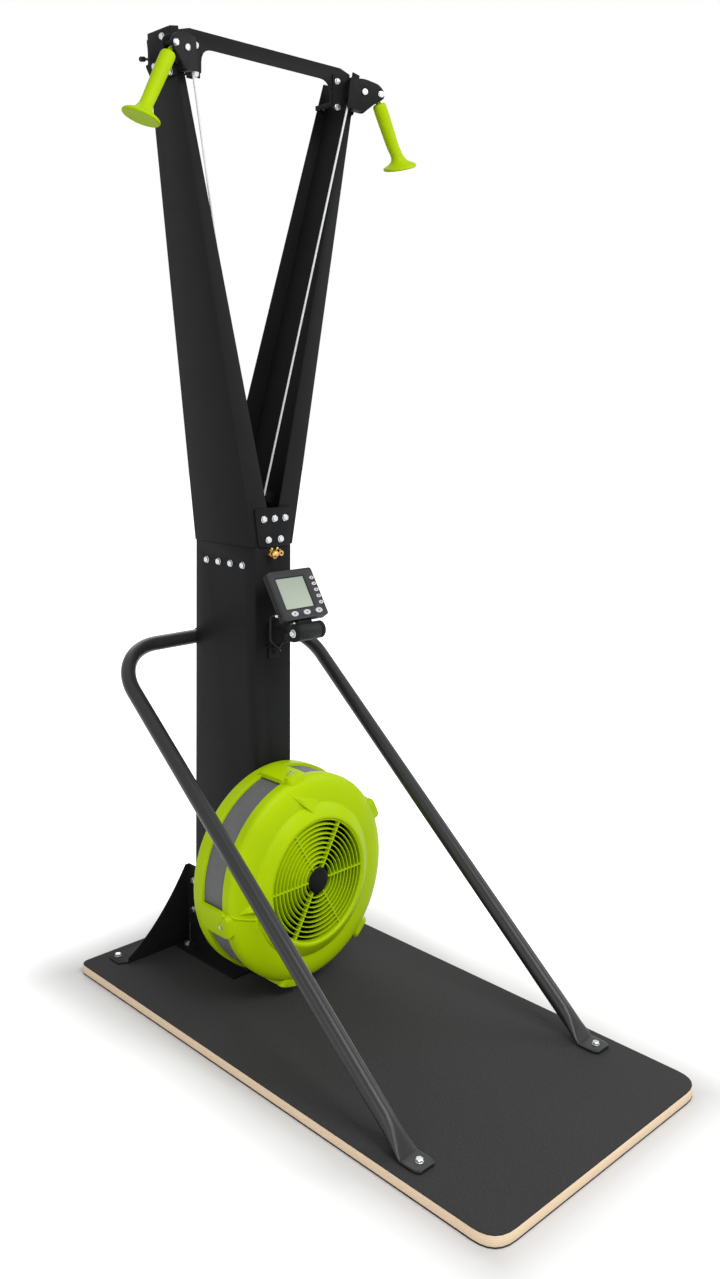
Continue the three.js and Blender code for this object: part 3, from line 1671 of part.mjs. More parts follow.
// The rear case has a bulge for the electronics and a barrel that turns between the arm's ears.
const caseFront = -bezelDepth - fitGap;
const pivotY = columnFront - barrelSetback;
const pivotZ = monitorRise - barrelDrop;
const toPivot = point(0, pivotY - (columnFront - monitorSetback), pivotZ - monitorRise);
const barrelUp = toPivot.y * Math.sin(monitorLean) + toPivot.z * Math.cos(monitorLean);
const barrelOut = -toPivot.y * Math.cos(monitorLean) + toPivot.z * Math.sin(monitorLean);
const barrel = turned(
  [
    [tiltBoltRadius + fitGap, -barrelHalf],
    [barrelRadius, -barrelHalf],
    [barrelRadius, barrelHalf],
    [tiltBoltRadius + fitGap, barrelHalf],
  ],
  barrelSides,
  "x",
).translate(0, barrelUp, barrelOut);
const neck = block(
  -neckHalf,
  neckHalf,
  barrelUp + barrelRadius * headTaperShare,
  -monitorHeight / 2 + bulgeInset,
  barrelOut - neckThickness / 2,
  barrelOut + neckThickness / 2,
);
const bulgeRing = (inset, depth) =>
  [
    [-1, -1],
    [1, -1],
    [1, 1],
    [-1, 1],
  ].map(([x, y]) =>
    point(x * (monitorWidth / 2 - inset), y * (monitorHeight / 2 - inset), depth),
  );
const bulge = loft([
  bulgeRing(bulgeInset, -caseDepth + boltSink),
  bulgeRing(bulgeInset, -caseDepth),
  bulgeRing(bulgeInset + bulgeDepth / 2, -caseDepth - bulgeDepth),
]);
const casePlate = plan(faceOutline(0), -caseDepth, caseFront, monitorCornerSteps);
const caseShell = join(casePlate, bulge, neck, barrel);
piece("monitor_case", caseShell, blackPlastic, monitor);

// Monitor arm: a fork with two ears and the tilt bolt, an arm with a gusset, and a root plate.
const earInner = barrelHalf + fitGap;
const earOuter = earInner + earWidth;
const ears = [-1, 1].flatMap((side) => {
  const near = side > 0 ? earInner : -earOuter;
  const far = near + earWidth;
  const disc = rod(
    barrelRadius,
    point(near, pivotY, pivotZ),
    point(far, pivotY, pivotZ),
    barrelSides,
  );
  const link = block(
    near,
    far,
    pivotY,
    pivotY + bridgeFar,
    pivotZ - barrelRadius,
    pivotZ - bridgeTop,
  );
  return [disc, link];
});
const tiltBolt = rod(
  tiltBoltRadius,
  point(-earOuter + boltSink, pivotY, pivotZ),
  point(earOuter - boltSink, pivotY, pivotZ),
);
const bridge = block(
  -earOuter,
  earOuter,
  pivotY + bridgeNear,
  pivotY + bridgeFar,
  pivotZ - barrelRadius,
  pivotZ - bridgeTop,
);
const rootFace = columnFront - fitGap;
const armSide = outline([
  [pivotY + bridgeNear, pivotZ - barrelRadius],
  [rootFace - boltSink, pivotZ - armRootBottom],
  [rootFace - boltSink, pivotZ - armRootTop],
  [pivotY + bridgeNear, pivotZ - bridgeTop],
]);
const gussetSide = outline([
  [rootFace - gussetReach, pivotZ - barrelRadius],
  [rootFace - boltSink, pivotZ - gussetDrop],
  [rootFace - boltSink, pivotZ - barrelRadius],
]);
const rootPlate = block(
  -rootPlateHalf,
  rootPlateHalf,
  rootFace - rootPlateThickness,
  rootFace,
  pivotZ - gussetDrop - boltHeight,
  pivotZ + boltHeight,
);
const monitorArm = join(
  ...ears,
  tiltBolt,
  bridge,
  sideView(armSide, -armHalf, armHalf),
  sideView(gussetSide, -gussetHalf, gussetHalf),
  rootPlate,
  bolt(point(-earOuter, pivotY, pivotZ), inboard),
  bolt(point(earOuter, pivotY, pivotZ), outboard),
);
piece("monitor_arm", monitorArm, blackSteel);

// Monitor cable: a short loop from the case's side, clear of its tilt, to the column beside the
// arm's root.
monitor.updateMatrixWorld(true);
const cableSide = -monitorWidth / 2 - cableDiameter / 2 - fitGap;
const cableStart = point(
  cableSide,
  -monitorHeight / 2 + bulgeInset + cableDiameter,
  (caseFront - caseDepth) / 2,
).applyMatrix4(monitor.matrixWorld);
const cableBack = cableStart.y + 2 * cableBend;
const cableCorners = [
  point(cableSide, cableBack, cableStart.z),
  point(cableSide, cableBack, pivotZ - barrelRadius),
  point(cableSide / 2, cableBack, pivotZ - armRootBottom),
];
const cablePoints = bentPoints(
  cableStart,
  cableCorners.map((at) => ({ at, radius: cableBend })),
  point(-rootPlateHalf - cableDiameter, rootFace, pivotZ - armRootBottom),
  cableBendSteps,
);
piece("monitor_cable", tube(cablePoints, cableDiameter / 2, cableSides), blackPlastic);

export default machine;
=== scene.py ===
import json
import math

import bmesh
import bpy
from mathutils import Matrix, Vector


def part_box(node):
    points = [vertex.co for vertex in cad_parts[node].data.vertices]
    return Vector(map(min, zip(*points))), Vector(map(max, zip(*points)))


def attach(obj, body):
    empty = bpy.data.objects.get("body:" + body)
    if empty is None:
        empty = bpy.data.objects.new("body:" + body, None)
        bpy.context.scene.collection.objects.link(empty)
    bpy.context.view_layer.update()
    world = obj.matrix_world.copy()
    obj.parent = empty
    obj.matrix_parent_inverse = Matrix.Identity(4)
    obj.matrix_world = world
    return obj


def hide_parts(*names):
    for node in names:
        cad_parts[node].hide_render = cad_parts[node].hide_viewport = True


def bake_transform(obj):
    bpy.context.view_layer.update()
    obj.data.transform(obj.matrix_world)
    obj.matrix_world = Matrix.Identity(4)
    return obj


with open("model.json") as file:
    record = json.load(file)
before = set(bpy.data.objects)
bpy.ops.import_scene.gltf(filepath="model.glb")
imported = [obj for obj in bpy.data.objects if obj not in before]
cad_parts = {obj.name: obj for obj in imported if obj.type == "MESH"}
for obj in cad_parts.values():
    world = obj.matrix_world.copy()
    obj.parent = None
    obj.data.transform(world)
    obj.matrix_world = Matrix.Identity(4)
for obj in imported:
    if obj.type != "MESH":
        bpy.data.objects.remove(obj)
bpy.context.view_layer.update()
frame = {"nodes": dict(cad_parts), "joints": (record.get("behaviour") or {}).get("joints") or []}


# Camera: at the photograph's viewing angle, at chest height, behind the user's place and to its
# left. Its lens and shift give the machine the size and place that it has in the photograph.
PHOTO_WIDTH = 720
PHOTO_HEIGHT = 1279
FOCAL_PIXELS = 1161.37
PRINCIPAL_PIXEL = (364.24, 384.04)
SENSOR = 36.0
CAMERA_PLACE = (-1.70734, -1.77921, 1.33021)
CAMERA_TILT = math.radians(90.62)
CAMERA_HEADING = math.radians(-43.97)
camera = bpy.data.objects.new("photo_camera", bpy.data.cameras.new("photo_camera"))
bpy.context.scene.collection.objects.link(camera)
bpy.context.scene.camera = camera
camera.location = CAMERA_PLACE
camera.rotation_euler = (CAMERA_TILT, 0, CAMERA_HEADING)
camera.data.sensor_width = SENSOR
camera.data.lens = FOCAL_PIXELS / PHOTO_HEIGHT * SENSOR
camera.data.shift_x = (PHOTO_WIDTH / 2 - PRINCIPAL_PIXEL[0]) / PHOTO_HEIGHT
camera.data.shift_y = (PRINCIPAL_PIXEL[1] - PHOTO_HEIGHT / 2) / PHOTO_HEIGHT
camera.data.clip_start = 0.05
camera.data.clip_end = 50


# Platform: a birch plywood board, its plies bare along the edge, between a grippy top mat and a
# thin rubber sheet underneath. The column and the rails are bolted down on it.
class Wire:
    """A shader value that adds, multiplies and compares like a number."""

    def __init__(self, nodes, socket):
        self.nodes = nodes
        self.socket = socket

    def maths(self, operation, *values):
        return self.nodes.node("ShaderNodeMath", {"operation": operation}, dict(enumerate(values)))

    def __add__(self, other):
        return self.maths("ADD", self, other)

    def __radd__(self, other):
        return self.maths("ADD", other, self)

    def __sub__(self, other):
        return self.maths("SUBTRACT", self, other)

    def __rsub__(self, other):
        return self.maths("SUBTRACT", other, self)

    def __mul__(self, other):
        return self.maths("MULTIPLY", self, other)

    def __rmul__(self, other):
        return self.maths("MULTIPLY", other, self)

    def __pow__(self, other):
        return self.maths("POWER", self, other)

    def __gt__(self, other):
        return self.maths("GREATER_THAN", self, other)

    def __lt__(self, other):
        return self.maths("LESS_THAN", self, other)

    def clamped(self):
        return self.maths("MAXIMUM", self.maths("MINIMUM", self, 1), 0)

    def fraction(self):
        return self.maths("FRACT", self)

    def sine(self):
        return self.maths("SINE", self)

    def angle(self, across):
        """The angle whose tangent is this value divided by the other."""
        return self.maths("ARCTAN2", self, across)

    def beside(self, output):
        """Another output of the same node."""
        return Wire(self.nodes, self.socket.node.outputs[output])


class Nodes:
    """The shader nodes of one material or world."""

    def __init__(self, tree):
        self.tree = tree

    def feed(self, socket, value):
        if isinstance(value, Wire):
            self.tree.links.new(value.socket, socket)
        else:
            socket.default_value = value

    def node(self, kind, settings=None, inputs=None, output=0):
        """One output of a new node: first its settings, then its inputs by name or number."""
        node = self.tree.nodes.new(kind)
        for name, value in (settings or {}).items():
            setattr(node, name, value)
        for name, value in (inputs or {}).items():
            self.feed(node.inputs[name], value)
        return Wire(self, node.outputs[output])


class Finish(Nodes):
    """A procedural material on one Principled surface."""

    def __init__(self, name, slot, **constants):
        self.slot = slot
        self.material = bpy.data.materials.new(name)
        self.material.use_nodes = True
        super().__init__(self.material.node_tree)
        self.surface = self.tree.nodes["Principled BSDF"]
        self.set(**constants)

    def set(self, **values):
        """Gives the surface's sockets constants, or values that change over it."""
        for name, value in values.items():
            self.feed(self.surface.inputs[name.replace("_", " ")], value)

    def places(self, stretch=(1, 1, 1)):
        """The point's place in the frame, in metres, stretched by a factor on each axis."""
        place = self.node("ShaderNodeTexCoord", output="Object")
        return self.node("ShaderNodeVectorMath", {"operation": "MULTIPLY"}, {0: place, 1: stretch})

    def axes(self):
        split = self.node("ShaderNodeSeparateXYZ", inputs={0: self.places()})
        return [split.beside(axis) for axis in "XYZ"]

    def noise(self, scale, detail, roughness=0.55, stretch=(1, 1, 1)):
        inputs = {"Scale": scale, "Detail": detail, "Roughness": roughness}
        inputs["Vector"] = self.places(stretch)
        return self.node("ShaderNodeTexNoise", inputs=inputs, output="Fac")

    def blend(self, share, first, second):
        """A colour between two others."""
        first, second = (c if isinstance(c, Wire) else (*c, 1) for c in (first, second))
        inputs = {"Factor": share, 6: first, 7: second}
        return self.node("ShaderNodeMix", {"data_type": "RGBA"}, inputs, output=2)

    def bump(self, height, distance, strength):
        inputs = {"Height": height, "Distance": distance, "Strength": strength}
        self.set(Normal=self.node("ShaderNodeBump", inputs=inputs))


def dress(target, finish):
    """Gives a piece or a CAD node its finish."""
    piece = frame["nodes"][target] if isinstance(target, str) else target
    piece.data.materials.clear()
    piece.data.materials.append(finish.material)
    not isinstance(target, str)
    return piece


def smooth(mesh, degrees=35):
    mesh.polygons.foreach_set("use_smooth", [True] * len(mesh.polygons))
    mesh.set_sharp_from_angle(angle=math.radians(degrees))


def edge_rounding(piece, width, segments=2, degrees=30):
    """Rounds the edges of a piece or CAD node, as folds and cut edges are."""
    weld = piece.modifiers.new("weld", "WELD")
    weld.merge_threshold = 1e-5
    planar = piece.modifiers.new("planar", "DECIMATE")
    planar.decimate_type = "DISSOLVE"
    planar.angle_limit = math.radians(1)
    bevel = piece.modifiers.new("rounding", "BEVEL")
    bevel.width = width
    bevel.segments = segments
    bevel.limit_method = "ANGLE"
    bevel.angle_limit = math.radians(degrees)
    bevel.harden_normals = True
    smooth(piece.data, degrees)
    return piece


plywood = Finish("birch_plywood", "plywood", Specular_IOR_Level=0.2)
PLY_COUNT = 9
PALE_BIRCH = (0.97, 0.78, 0.57)
WARM_BIRCH = (0.84, 0.65, 0.455)
END_GRAIN = (0.60, 0.41, 0.245)
FIBRE_STRETCH = (9.0, 9.0, 700.0)
GLUE_EDGE = 0.86
GLUE_SHADE = 0.3
END_SHADE = 0.4
board_low, board_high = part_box("platform_board")
ply = (plywood.axes()[2] - board_low.z) * (PLY_COUNT / (board_high.z - board_low.z))
fibre = plywood.noise(1.0, 5.0, 0.6, FIBRE_STRETCH)
cross_ply = ((ply * 0.5).fraction() > 0.5) * (0.3 + 0.5 * fibre)
glue_line = (((ply.fraction() - 0.5) * 2.0) ** 2.0 > GLUE_EDGE) * GLUE_SHADE
birch = plywood.blend(fibre, PALE_BIRCH, WARM_BIRCH)
plywood.set(
    Base_Color=plywood.blend((cross_ply * END_SHADE + glue_line).clamped(), birch, END_GRAIN),
    Roughness=0.5 + 0.2 * fibre,
)
plywood.bump(fibre, 0.0002, 0.4)
BOARD_ROUNDING = 0.0012
edge_rounding(dress("platform_board", plywood), BOARD_ROUNDING)

mat_rubber = Finish("grippy_mat", "rubber_mat", Specular_IOR_Level=0.12)
MAT_DARK = (0.018, 0.018, 0.0185)
MAT_PALE = (0.054, 0.054, 0.0545)
pebbling = {"Vector": mat_rubber.places(), "Scale": 420.0, "Randomness": 1.0}
pebbles = mat_rubber.node("ShaderNodeTexVoronoi", inputs=pebbling, output="Distance")
tread = mat_rubber.noise(3.5, 5.0, 0.6)
grit = mat_rubber.noise(260.0, 3.0, 0.6)
mat_rubber.set(
    Base_Color=mat_rubber.blend((grit * 0.8 + tread * 0.3).clamped(), MAT_DARK, MAT_PALE),
    Roughness=0.74 + 0.18 * tread,
)
mat_rubber.bump(pebbles * 0.6 + grit, 0.0005, 0.5)
MAT_ROUNDING = 0.0007
for name in ("platform_top_mat", "platform_base_mat"):
    edge_rounding(dress(name, mat_rubber), MAT_ROUNDING)


# Steel frame: column, arms, crossbar, head plates, pulley housings, feet and brackets. They are cut
# and folded from sheet, powder coated black with a fine orange peel, and bolted together.
def mottled(name, slot, colours, patches, roughness, clouds, grain=None, relief=None, **constants):
    """A finish whose colour and roughness drift between two values, with a grain in low relief.

    Patches, clouds and grain are noises, each with a scale and a detail, and relief has a depth and
    a strength.
    """
    finish = Finish(name, slot, **constants)
    lowest, highest = roughness
    finish.set(
        Base_Color=finish.blend(finish.noise(*patches), *colours),
        Roughness=lowest + (highest - lowest) * finish.noise(*clouds),
    )
    if grain:
        finish.bump(finish.noise(*grain), *relief)
    return finish


steel_coat = mottled(
    "satin_powder_coat",
    "black_steel",
    colours=((0.0092, 0.0094, 0.0099), (0.0138, 0.0140, 0.0146)),
    patches=(9.0, 4.0),
    roughness=(0.42, 0.54),
    clouds=(38.0, 3.0),
    grain=(1500.0, 2.0),
    relief=(0.00012, 0.35),
    Specular_IOR_Level=0.06,
)
FOLD_ROUNDING = 0.0009
SIDES = {"right": 1, "left": -1}
SINGLE_SHEETS = (
    "column_shell",
    "column_rear_cover",
    "splice_channel",
    "splice_plate",
    "crossbar",
    "cord_guide_bracket",
    "rail_saddle",
    "shaft_support",
    "monitor_arm",
)
PAIRED_SHEETS = (
    "base_angle",
    "brace_wing",
    "arm",
    "head_plate",
    "pulley_housing",
    "rear_cheek",
    "arm_top_strap",
)
for name in (*SINGLE_SHEETS, *(f"{name}_{side}" for name in PAIRED_SHEETS for side in SIDES)):
    edge_rounding(dress(name, steel_coat), FOLD_ROUNDING)


# Bolts: zinc-plated hexagon heads on washers, over the plain heads of the solids, wherever plates,
# feet, straps and the saddle are screwed down.
zinc = mottled(
    "zinc_plate",
    "steel",
    colours=((0.50, 0.51, 0.53), (0.70, 0.71, 0.73)),
    patches=(160.0, 3.0),
    roughness=(0.24, 0.40),
    clouds=(420.0, 3.0),
    grain=(2400.0, 3.0),
    relief=(0.00006, 0.4),
    Metallic=1.0,
    Specular_IOR_Level=0.5,
)


def skin(form, rings, caps=True):
    """Faces between closed rings of points, which end in caps or else meet the first ring."""
    made = [[form.verts.new(point) for point in ring] for ring in rings]
    for near, far in zip(made, made[1:] if caps else made[1:] + made[:1]):
        for i, vertex in enumerate(near):
            j = (i + 1) % len(near)
            form.faces.new((vertex, near[j], far[j], far[i]))
    if caps:
        form.faces.new(made[0])
        form.faces.new(made[-1])
    return form


OUTWARD = Vector((1, 0, 0))
FORWARD = Vector((0, -1, 0))
REARWARD = Vector((0, 1, 0))
UP = Vector((0, 0, 1))


def round_ring(centre, axis, radius, sides):
    """A circle of points round an axis, from the uppermost, or the rearmost if it is upright."""
    axis = Vector(axis).normalized()
    first = REARWARD if abs(axis.z) > 0.9 else UP
    across = (first - axis * first.dot(axis)).normalized()
    over = axis.cross(across)
    turns = [math.tau * side / sides for side in range(sides)]
    return [centre + radius * (across * math.cos(t) + over * math.sin(t)) for t in turns]


def turned(form, profile, origin, axis, sides, closed=False):
    """A lathe form from (radius, distance along the axis) points. A closed profile is a ring."""
    axis = Vector(axis).normalized()
    start = Vector(origin)
    rings = [round_ring(start + axis * along, axis, radius, sides) for radius, along in profile]
    return skin(form, rings, caps=not closed)


def piece_of(name, form, finish, body, *nodes):
    """A new piece from a bmesh, dressed, riding on a body and standing for its CAD nodes."""
    mesh = bpy.data.meshes.new(name)
    bmesh.ops.recalc_face_normals(form, faces=form.faces)
    form.to_mesh(mesh)
    form.free()
    piece = bpy.data.objects.new(name, mesh)
    bpy.context.scene.collection.objects.link(piece)
    smooth(mesh)
    dress(piece, finish)
    if body:
        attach(piece, body)
    if nodes:
        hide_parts(*nodes)
    return piece


def hex_head(form, at, outward, radius=0.0074, height=0.0056, washer=0.0079):
    """A hexagon head with a chamfered top, on a round washer."""
    rim = height * 0.2
    turned(form, [(washer, 0), (washer, rim), (washer * 0.9, rim * 1.3)], at, outward, 24)
    head = [(radius, rim), (radius, height * 0.85), (radius * 0.86, height)]
    turned(form, head, at, outward, 6)


def small_screw(form, at, outward):
    hex_head(form, at, outward, radius=0.0039, height=0.0029, washer=0.0043)


def mirrored(point, sign):
    return Vector((point[0] * sign, point[1], point[2]))


COLUMN_SIDE = 0.054
COLUMN_FRONT = 0.292
COLUMN_REAR = 0.517
COLUMN_TOP = 0.987
SIDE_BOLT_PITCH = 0.0457
SIDE_BOLT_DROP = 0.044
side_bolts = bmesh.new()
for step in (-1.5, -0.5, 0.5, 1.5):
    y = (COLUMN_FRONT + COLUMN_REAR) / 2 + SIDE_BOLT_PITCH * step
    for sign in SIDES.values():
        at = mirrored((COLUMN_SIDE, y, COLUMN_TOP - SIDE_BOLT_DROP), sign)
        hex_head(side_bolts, at, OUTWARD * sign)
piece_of("column_side_bolts", side_bolts, zinc, "frame")

SPLICE_FACE = 0.2882
UPPER_ROW = 0.063
LOWER_ROW = 0.015
splice_bolts = bmesh.new()
for row, places in ((UPPER_ROW, (-0.0315, 0, 0.0315)), (LOWER_ROW, (-0.018, 0.018))):
    for x in places:
        hex_head(splice_bolts, Vector((x, SPLICE_FACE, COLUMN_TOP + row)), FORWARD)
piece_of("splice_bolts", splice_bolts, zinc, "frame")

# The bolts of a base angle, a brace wing's foot and a rail's foot each have their place across and
# along the platform, and stand on one sheet or on the rail's two.
FIT_GAP = 0.0003
FOOT_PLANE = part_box("platform_top_mat")[1].z + FIT_GAP
FOOT_SHEET = 0.003
FOOT_BOLTS = ((0.0793, 0.5157, 1), (0.2296, 0.58, 1), (0.258, -0.412, 2))
WING_FACE = 0.0606
WING_TAB = 0.516
WING_BOLT_HEIGHTS = (0.1024, 0.1714)
floor_bolts = bmesh.new()
for sign in SIDES.values():
    for x, y, sheets in FOOT_BOLTS:
        at = mirrored((x, y, FOOT_PLANE + FOOT_SHEET * sheets), sign)
        hex_head(floor_bolts, at, UP, radius=0.0072, washer=0.0076)
    for z in WING_BOLT_HEIGHTS:
        hex_head(floor_bolts, mirrored((WING_FACE, WING_TAB, z), sign), OUTWARD * sign)
piece_of("foot_bolts", floor_bolts, zinc, "frame")

RAIL_HEIGHT = 0.750
SADDLE_FACE = 0.5203
SADDLE_BOLT_ACROSS = 0.025
SADDLE_BOLT_RISE = 0.03105
COVER_SCREW_ACROSS = 0.0387
COVER_SCREW_INSET = 0.012
rear_bolts = bmesh.new()
for sign in SIDES.values():
    for rise in (-SADDLE_BOLT_RISE, SADDLE_BOLT_RISE):
        at = mirrored((SADDLE_BOLT_ACROSS, SADDLE_FACE, RAIL_HEIGHT + rise), sign)
        hex_head(rear_bolts, at, REARWARD)
    for share in (0, 0.5, 1):
        run = COLUMN_TOP - FOOT_PLANE - 2 * COVER_SCREW_INSET
        z = FOOT_PLANE + COVER_SCREW_INSET + run * share
        small_screw(rear_bolts, mirrored((COVER_SCREW_ACROSS, COLUMN_REAR, z), sign), REARWARD)
piece_of("rear_bolts", rear_bolts, zinc, "frame")


# Bolts of the arm tops: three through each head plate, two on the housing's tab, one at the nose
# of its cheek and two small ones on the strap, all zinc plated. The stop stud beside them has a cap
# of black moulded plastic pushed on.
ARM_FOOT = 0.057
ARM_HEAD = 0.2768
ARM_HEIGHT = 1.131
ARM_LEAN = math.atan2(ARM_HEAD - ARM_FOOT, ARM_HEIGHT)
PLATE_FACE = 0.0043
arm_up = Vector((math.sin(ARM_LEAN), 0, math.cos(ARM_LEAN)))
arm_out = Vector((math.cos(ARM_LEAN), 0, -math.sin(ARM_LEAN)))


def on_arm(y, run, sign):
    """A place on the head plate's face by its y and how far up the arm it lies."""
    place = Vector((ARM_FOOT, y, COLUMN_TOP)) + arm_up * run + arm_out * PLATE_FACE
    return mirrored(place, sign)


HEAD_BOLTS = ((0.3305, 1.1462), (0.3745, 1.0902), (0.3205, 1.0692))
TAB_FACE = 0.3055
TAB_BOLT_ACROSS = 0.2114
TAB_BOLT_HEIGHTS = (2.0377, 2.1007)
STRAP_FACE = 0.3975
STRAP_SCREW_HEIGHT = 2.054
STRAP_SCREWS_ACROSS = (0.235, 0.250)
HEAD_TURN = math.radians(22)
HEAD_ORIGIN = Vector((0.2184, 0.28125, 0))
CHEEK_NOSE = 0.093
CHEEK_NOSE_HEIGHT = 2.075
STUD = (0.3935, 1.1102)
STUD_PROFILE = ((0.0031, 0), (0.0031, 0.0125))
STOP_CAP = ((0.0057, 0.0118), (0.0059, 0.013), (0.0059, 0.0218), (0.0048, 0.0233))
head_along = Vector((math.cos(HEAD_TURN), -math.sin(HEAD_TURN), 0))
cheek_out = Vector((-math.sin(HEAD_TURN), -math.cos(HEAD_TURN), 0))
cheek_nose = HEAD_ORIGIN + head_along * CHEEK_NOSE + UP * CHEEK_NOSE_HEIGHT
black_moulding = mottled(
    "black_moulding",
    "black_plastic",
    colours=((0.0105, 0.011, 0.0115), (0.0185, 0.019, 0.020)),
    patches=(30.0, 3.0),
    roughness=(0.40, 0.56),
    clouds=(90.0, 3.0),
    grain=(1300.0, 2.0),
    relief=(0.00012, 0.4),
    Specular_IOR_Level=0.12,
)
for side, sign in SIDES.items():
    outward = mirrored(arm_out, sign)
    head_bolts = bmesh.new()
    for y, run in HEAD_BOLTS:
        hex_head(head_bolts, on_arm(y, run, sign), outward)
    for z in TAB_BOLT_HEIGHTS:
        hex_head(head_bolts, mirrored((TAB_BOLT_ACROSS, TAB_FACE, z), sign), FORWARD)
    for x in STRAP_SCREWS_ACROSS:
        small_screw(head_bolts, mirrored((x, STRAP_FACE, STRAP_SCREW_HEIGHT), sign), FORWARD)
    hex_head(head_bolts, mirrored(cheek_nose, sign), mirrored(cheek_out, sign), radius=0.0077)
    turned(head_bolts, STUD_PROFILE, on_arm(*STUD, sign), outward, 24)
    piece_of(f"head_bolts_{side}", head_bolts, zinc, "frame")
for side, sign in SIDES.items():
    cap = turned(bmesh.new(), STOP_CAP, on_arm(*STUD, sign), mirrored(arm_out, sign), 28)
    piece_of(f"stop_cap_{side}", cap, black_moulding, "frame")


# Rails: round steel tubes, powder coated black, bent at the top and pressed flat at their feet,
# which are bolted down on the mat. Both meet in the saddle behind the column.
def swept(form, points, radius, sides):
    """A round tube along points, whose sections don't twist."""
    rings = []
    side = None
    for i, point in enumerate(points):
        ahead = points[min(i + 1, len(points) - 1)] - points[max(i - 1, 0)]
        ahead.normalize()
        side = ahead.orthogonal() if side is None else side - ahead * side.dot(ahead)
        side.normalize()
        over = ahead.cross(side)
        turns = [math.tau * s / sides for s in range(sides)]
        rings.append([point + radius * (side * math.cos(t) + over * math.sin(t)) for t in turns])
    return skin(form, rings)


def bent(start, corners, end, steps):
    """Points along straight runs between (corner, radius) pairs, with round bends."""
    knots = [start, *[corner for corner, _ in corners], end]
    points = [start]
    for i, (corner, radius) in enumerate(corners):
        into = (corner - knots[i]).normalized()
        out = (knots[i + 2] - corner).normalized()
        turn = into.angle(out)
        inward = (out - into).normalized()
        along = (out + into).normalized()
        centre = corner + inward * radius / math.cos(turn / 2)
        for step in range(steps + 1):
            angle = turn * (step / steps - 0.5)
            points.append(centre + radius * (along * math.sin(angle) - inward * math.cos(angle)))
    return [*points, end]


RAIL_RADIUS = 0.01675
RAIL_CORNER = Vector((0.281, 0.53405, RAIL_HEIGHT))
RAIL_FOOT = Vector((0.258, -0.386, FOOT_PLANE + FOOT_SHEET))
RAIL_BEND = 0.120
RAIL_SIDES = 36
RAIL_END = Vector((FIT_GAP / 2, RAIL_CORNER.y, RAIL_CORNER.z))
FOOT_TAPER = 0.068
rail_run = (RAIL_CORNER - RAIL_FOOT).normalized()
leg_start = RAIL_FOOT + rail_run * FOOT_TAPER
foot_across = Vector((rail_run.y, -rail_run.x, 0)).normalized()
foot_over = foot_across.cross(rail_run)

# Each section of the pressed leg and of the flat foot has its distance from the foot's crease, half
# its width, half its height and its roundness, which is 1 for an ellipse and less for a box.
PRESSED_LEG = (
    (FOOT_TAPER + 0.001, 0.01665, 0.01665, 1),
    (0.051, 0.0172, 0.0150, 0.95),
    (0.0306, 0.0198, 0.0095, 0.8),
    (0.0122, 0.0228, 0.0048, 0.6),
)
FLAT_FOOT = (
    (0, 0.024, FOOT_SHEET, 0.5),
    (0.023, 0.024, FOOT_SHEET, 0.4),
    (0.037, 0.0225, FOOT_SHEET, 0.4),
    (0.0445, 0.018, FOOT_SHEET, 0.4),
    (0.046, 0.0155, FOOT_SHEET, 0.4),
)


def flattened(along, wide, high, sections):
    """The rings of a tube that is pressed flat, along a direction from the foot's crease."""
    rings = []
    for distance, half_width, half_height, roundness in sections:
        ring = []
        for step in range(RAIL_SIDES):
            angle = math.tau * step / RAIL_SIDES
            across, over = (
                math.copysign(abs(share) ** roundness, share)
                for share in (math.cos(angle), math.sin(angle))
            )
            offset = wide * half_width * across + high * half_height * over
            ring.append(RAIL_FOOT + along * distance + offset)
        rings.append(ring)
    return rings


rail_coat = mottled(
    "rail_powder_coat",
    "black_steel",
    colours=((0.0140, 0.0143, 0.0154), (0.0190, 0.0194, 0.0208)),
    patches=(9.0, 4.0),
    roughness=(0.30, 0.38),
    clouds=(38.0, 3.0),
    grain=(1500.0, 2.0),
    relief=(0.00006, 0.3),
    Specular_IOR_Level=0.32,
)
rail_route = bent(leg_start, [(RAIL_CORNER, RAIL_BEND)], RAIL_END, 24)
foot_rings = flattened(rail_run, foot_across, foot_over, PRESSED_LEG)
foot_rings += flattened(FORWARD, OUTWARD, UP, FLAT_FOOT)
for side, sign in SIDES.items():
    route = [mirrored(point, sign) for point in rail_route]
    rail = swept(bmesh.new(), route, RAIL_RADIUS, RAIL_SIDES)
    skin(rail, [[mirrored(point, sign) for point in ring] for ring in foot_rings])
    piece_of(f"rail_{side}_tube", rail, rail_coat, "frame", f"rail_{side}")


# Fan shells: smooth lime mouldings. The rear pan is screwed to the column, and its five straps
# bridge the mesh band and hold the rounded front shell with its raised ring.
lime = mottled(
    "lime_plastic",
    "lime_plastic",
    colours=((0.392, 0.570, 0.0012), (0.450, 0.640, 0.0025)),
    patches=(5.0, 3.0),
    roughness=(0.30, 0.42),
    clouds=(60.0, 3.0),
    grain=(900.0, 2.0),
    relief=(0.00004, 0.2),
    Specular_IOR_Level=0.07,
)
joints = {joint["name"]: joint for joint in frame["joints"]}
FAN = Vector((0, 0, joints["fan_spin"]["pos_m"][2]))
FAN_SIDES = 144
WALL = 0.003
SHELL_RADIUS = 0.221
SHELL_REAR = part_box("fan_front_shell")[1].y
SHELL_DEPTH = 0.040
SHOULDER_REACH = 0.055
SHOULDER_DEPTH = 0.023
SHOULDER_STEPS = 14
RING_RADIUS = 0.162
RING_HEIGHT = 0.019
RING_EDGE = 0.0025
RING_STEPS = 4
RING_DRAFT = 0.0005
OPENING = 0.1305

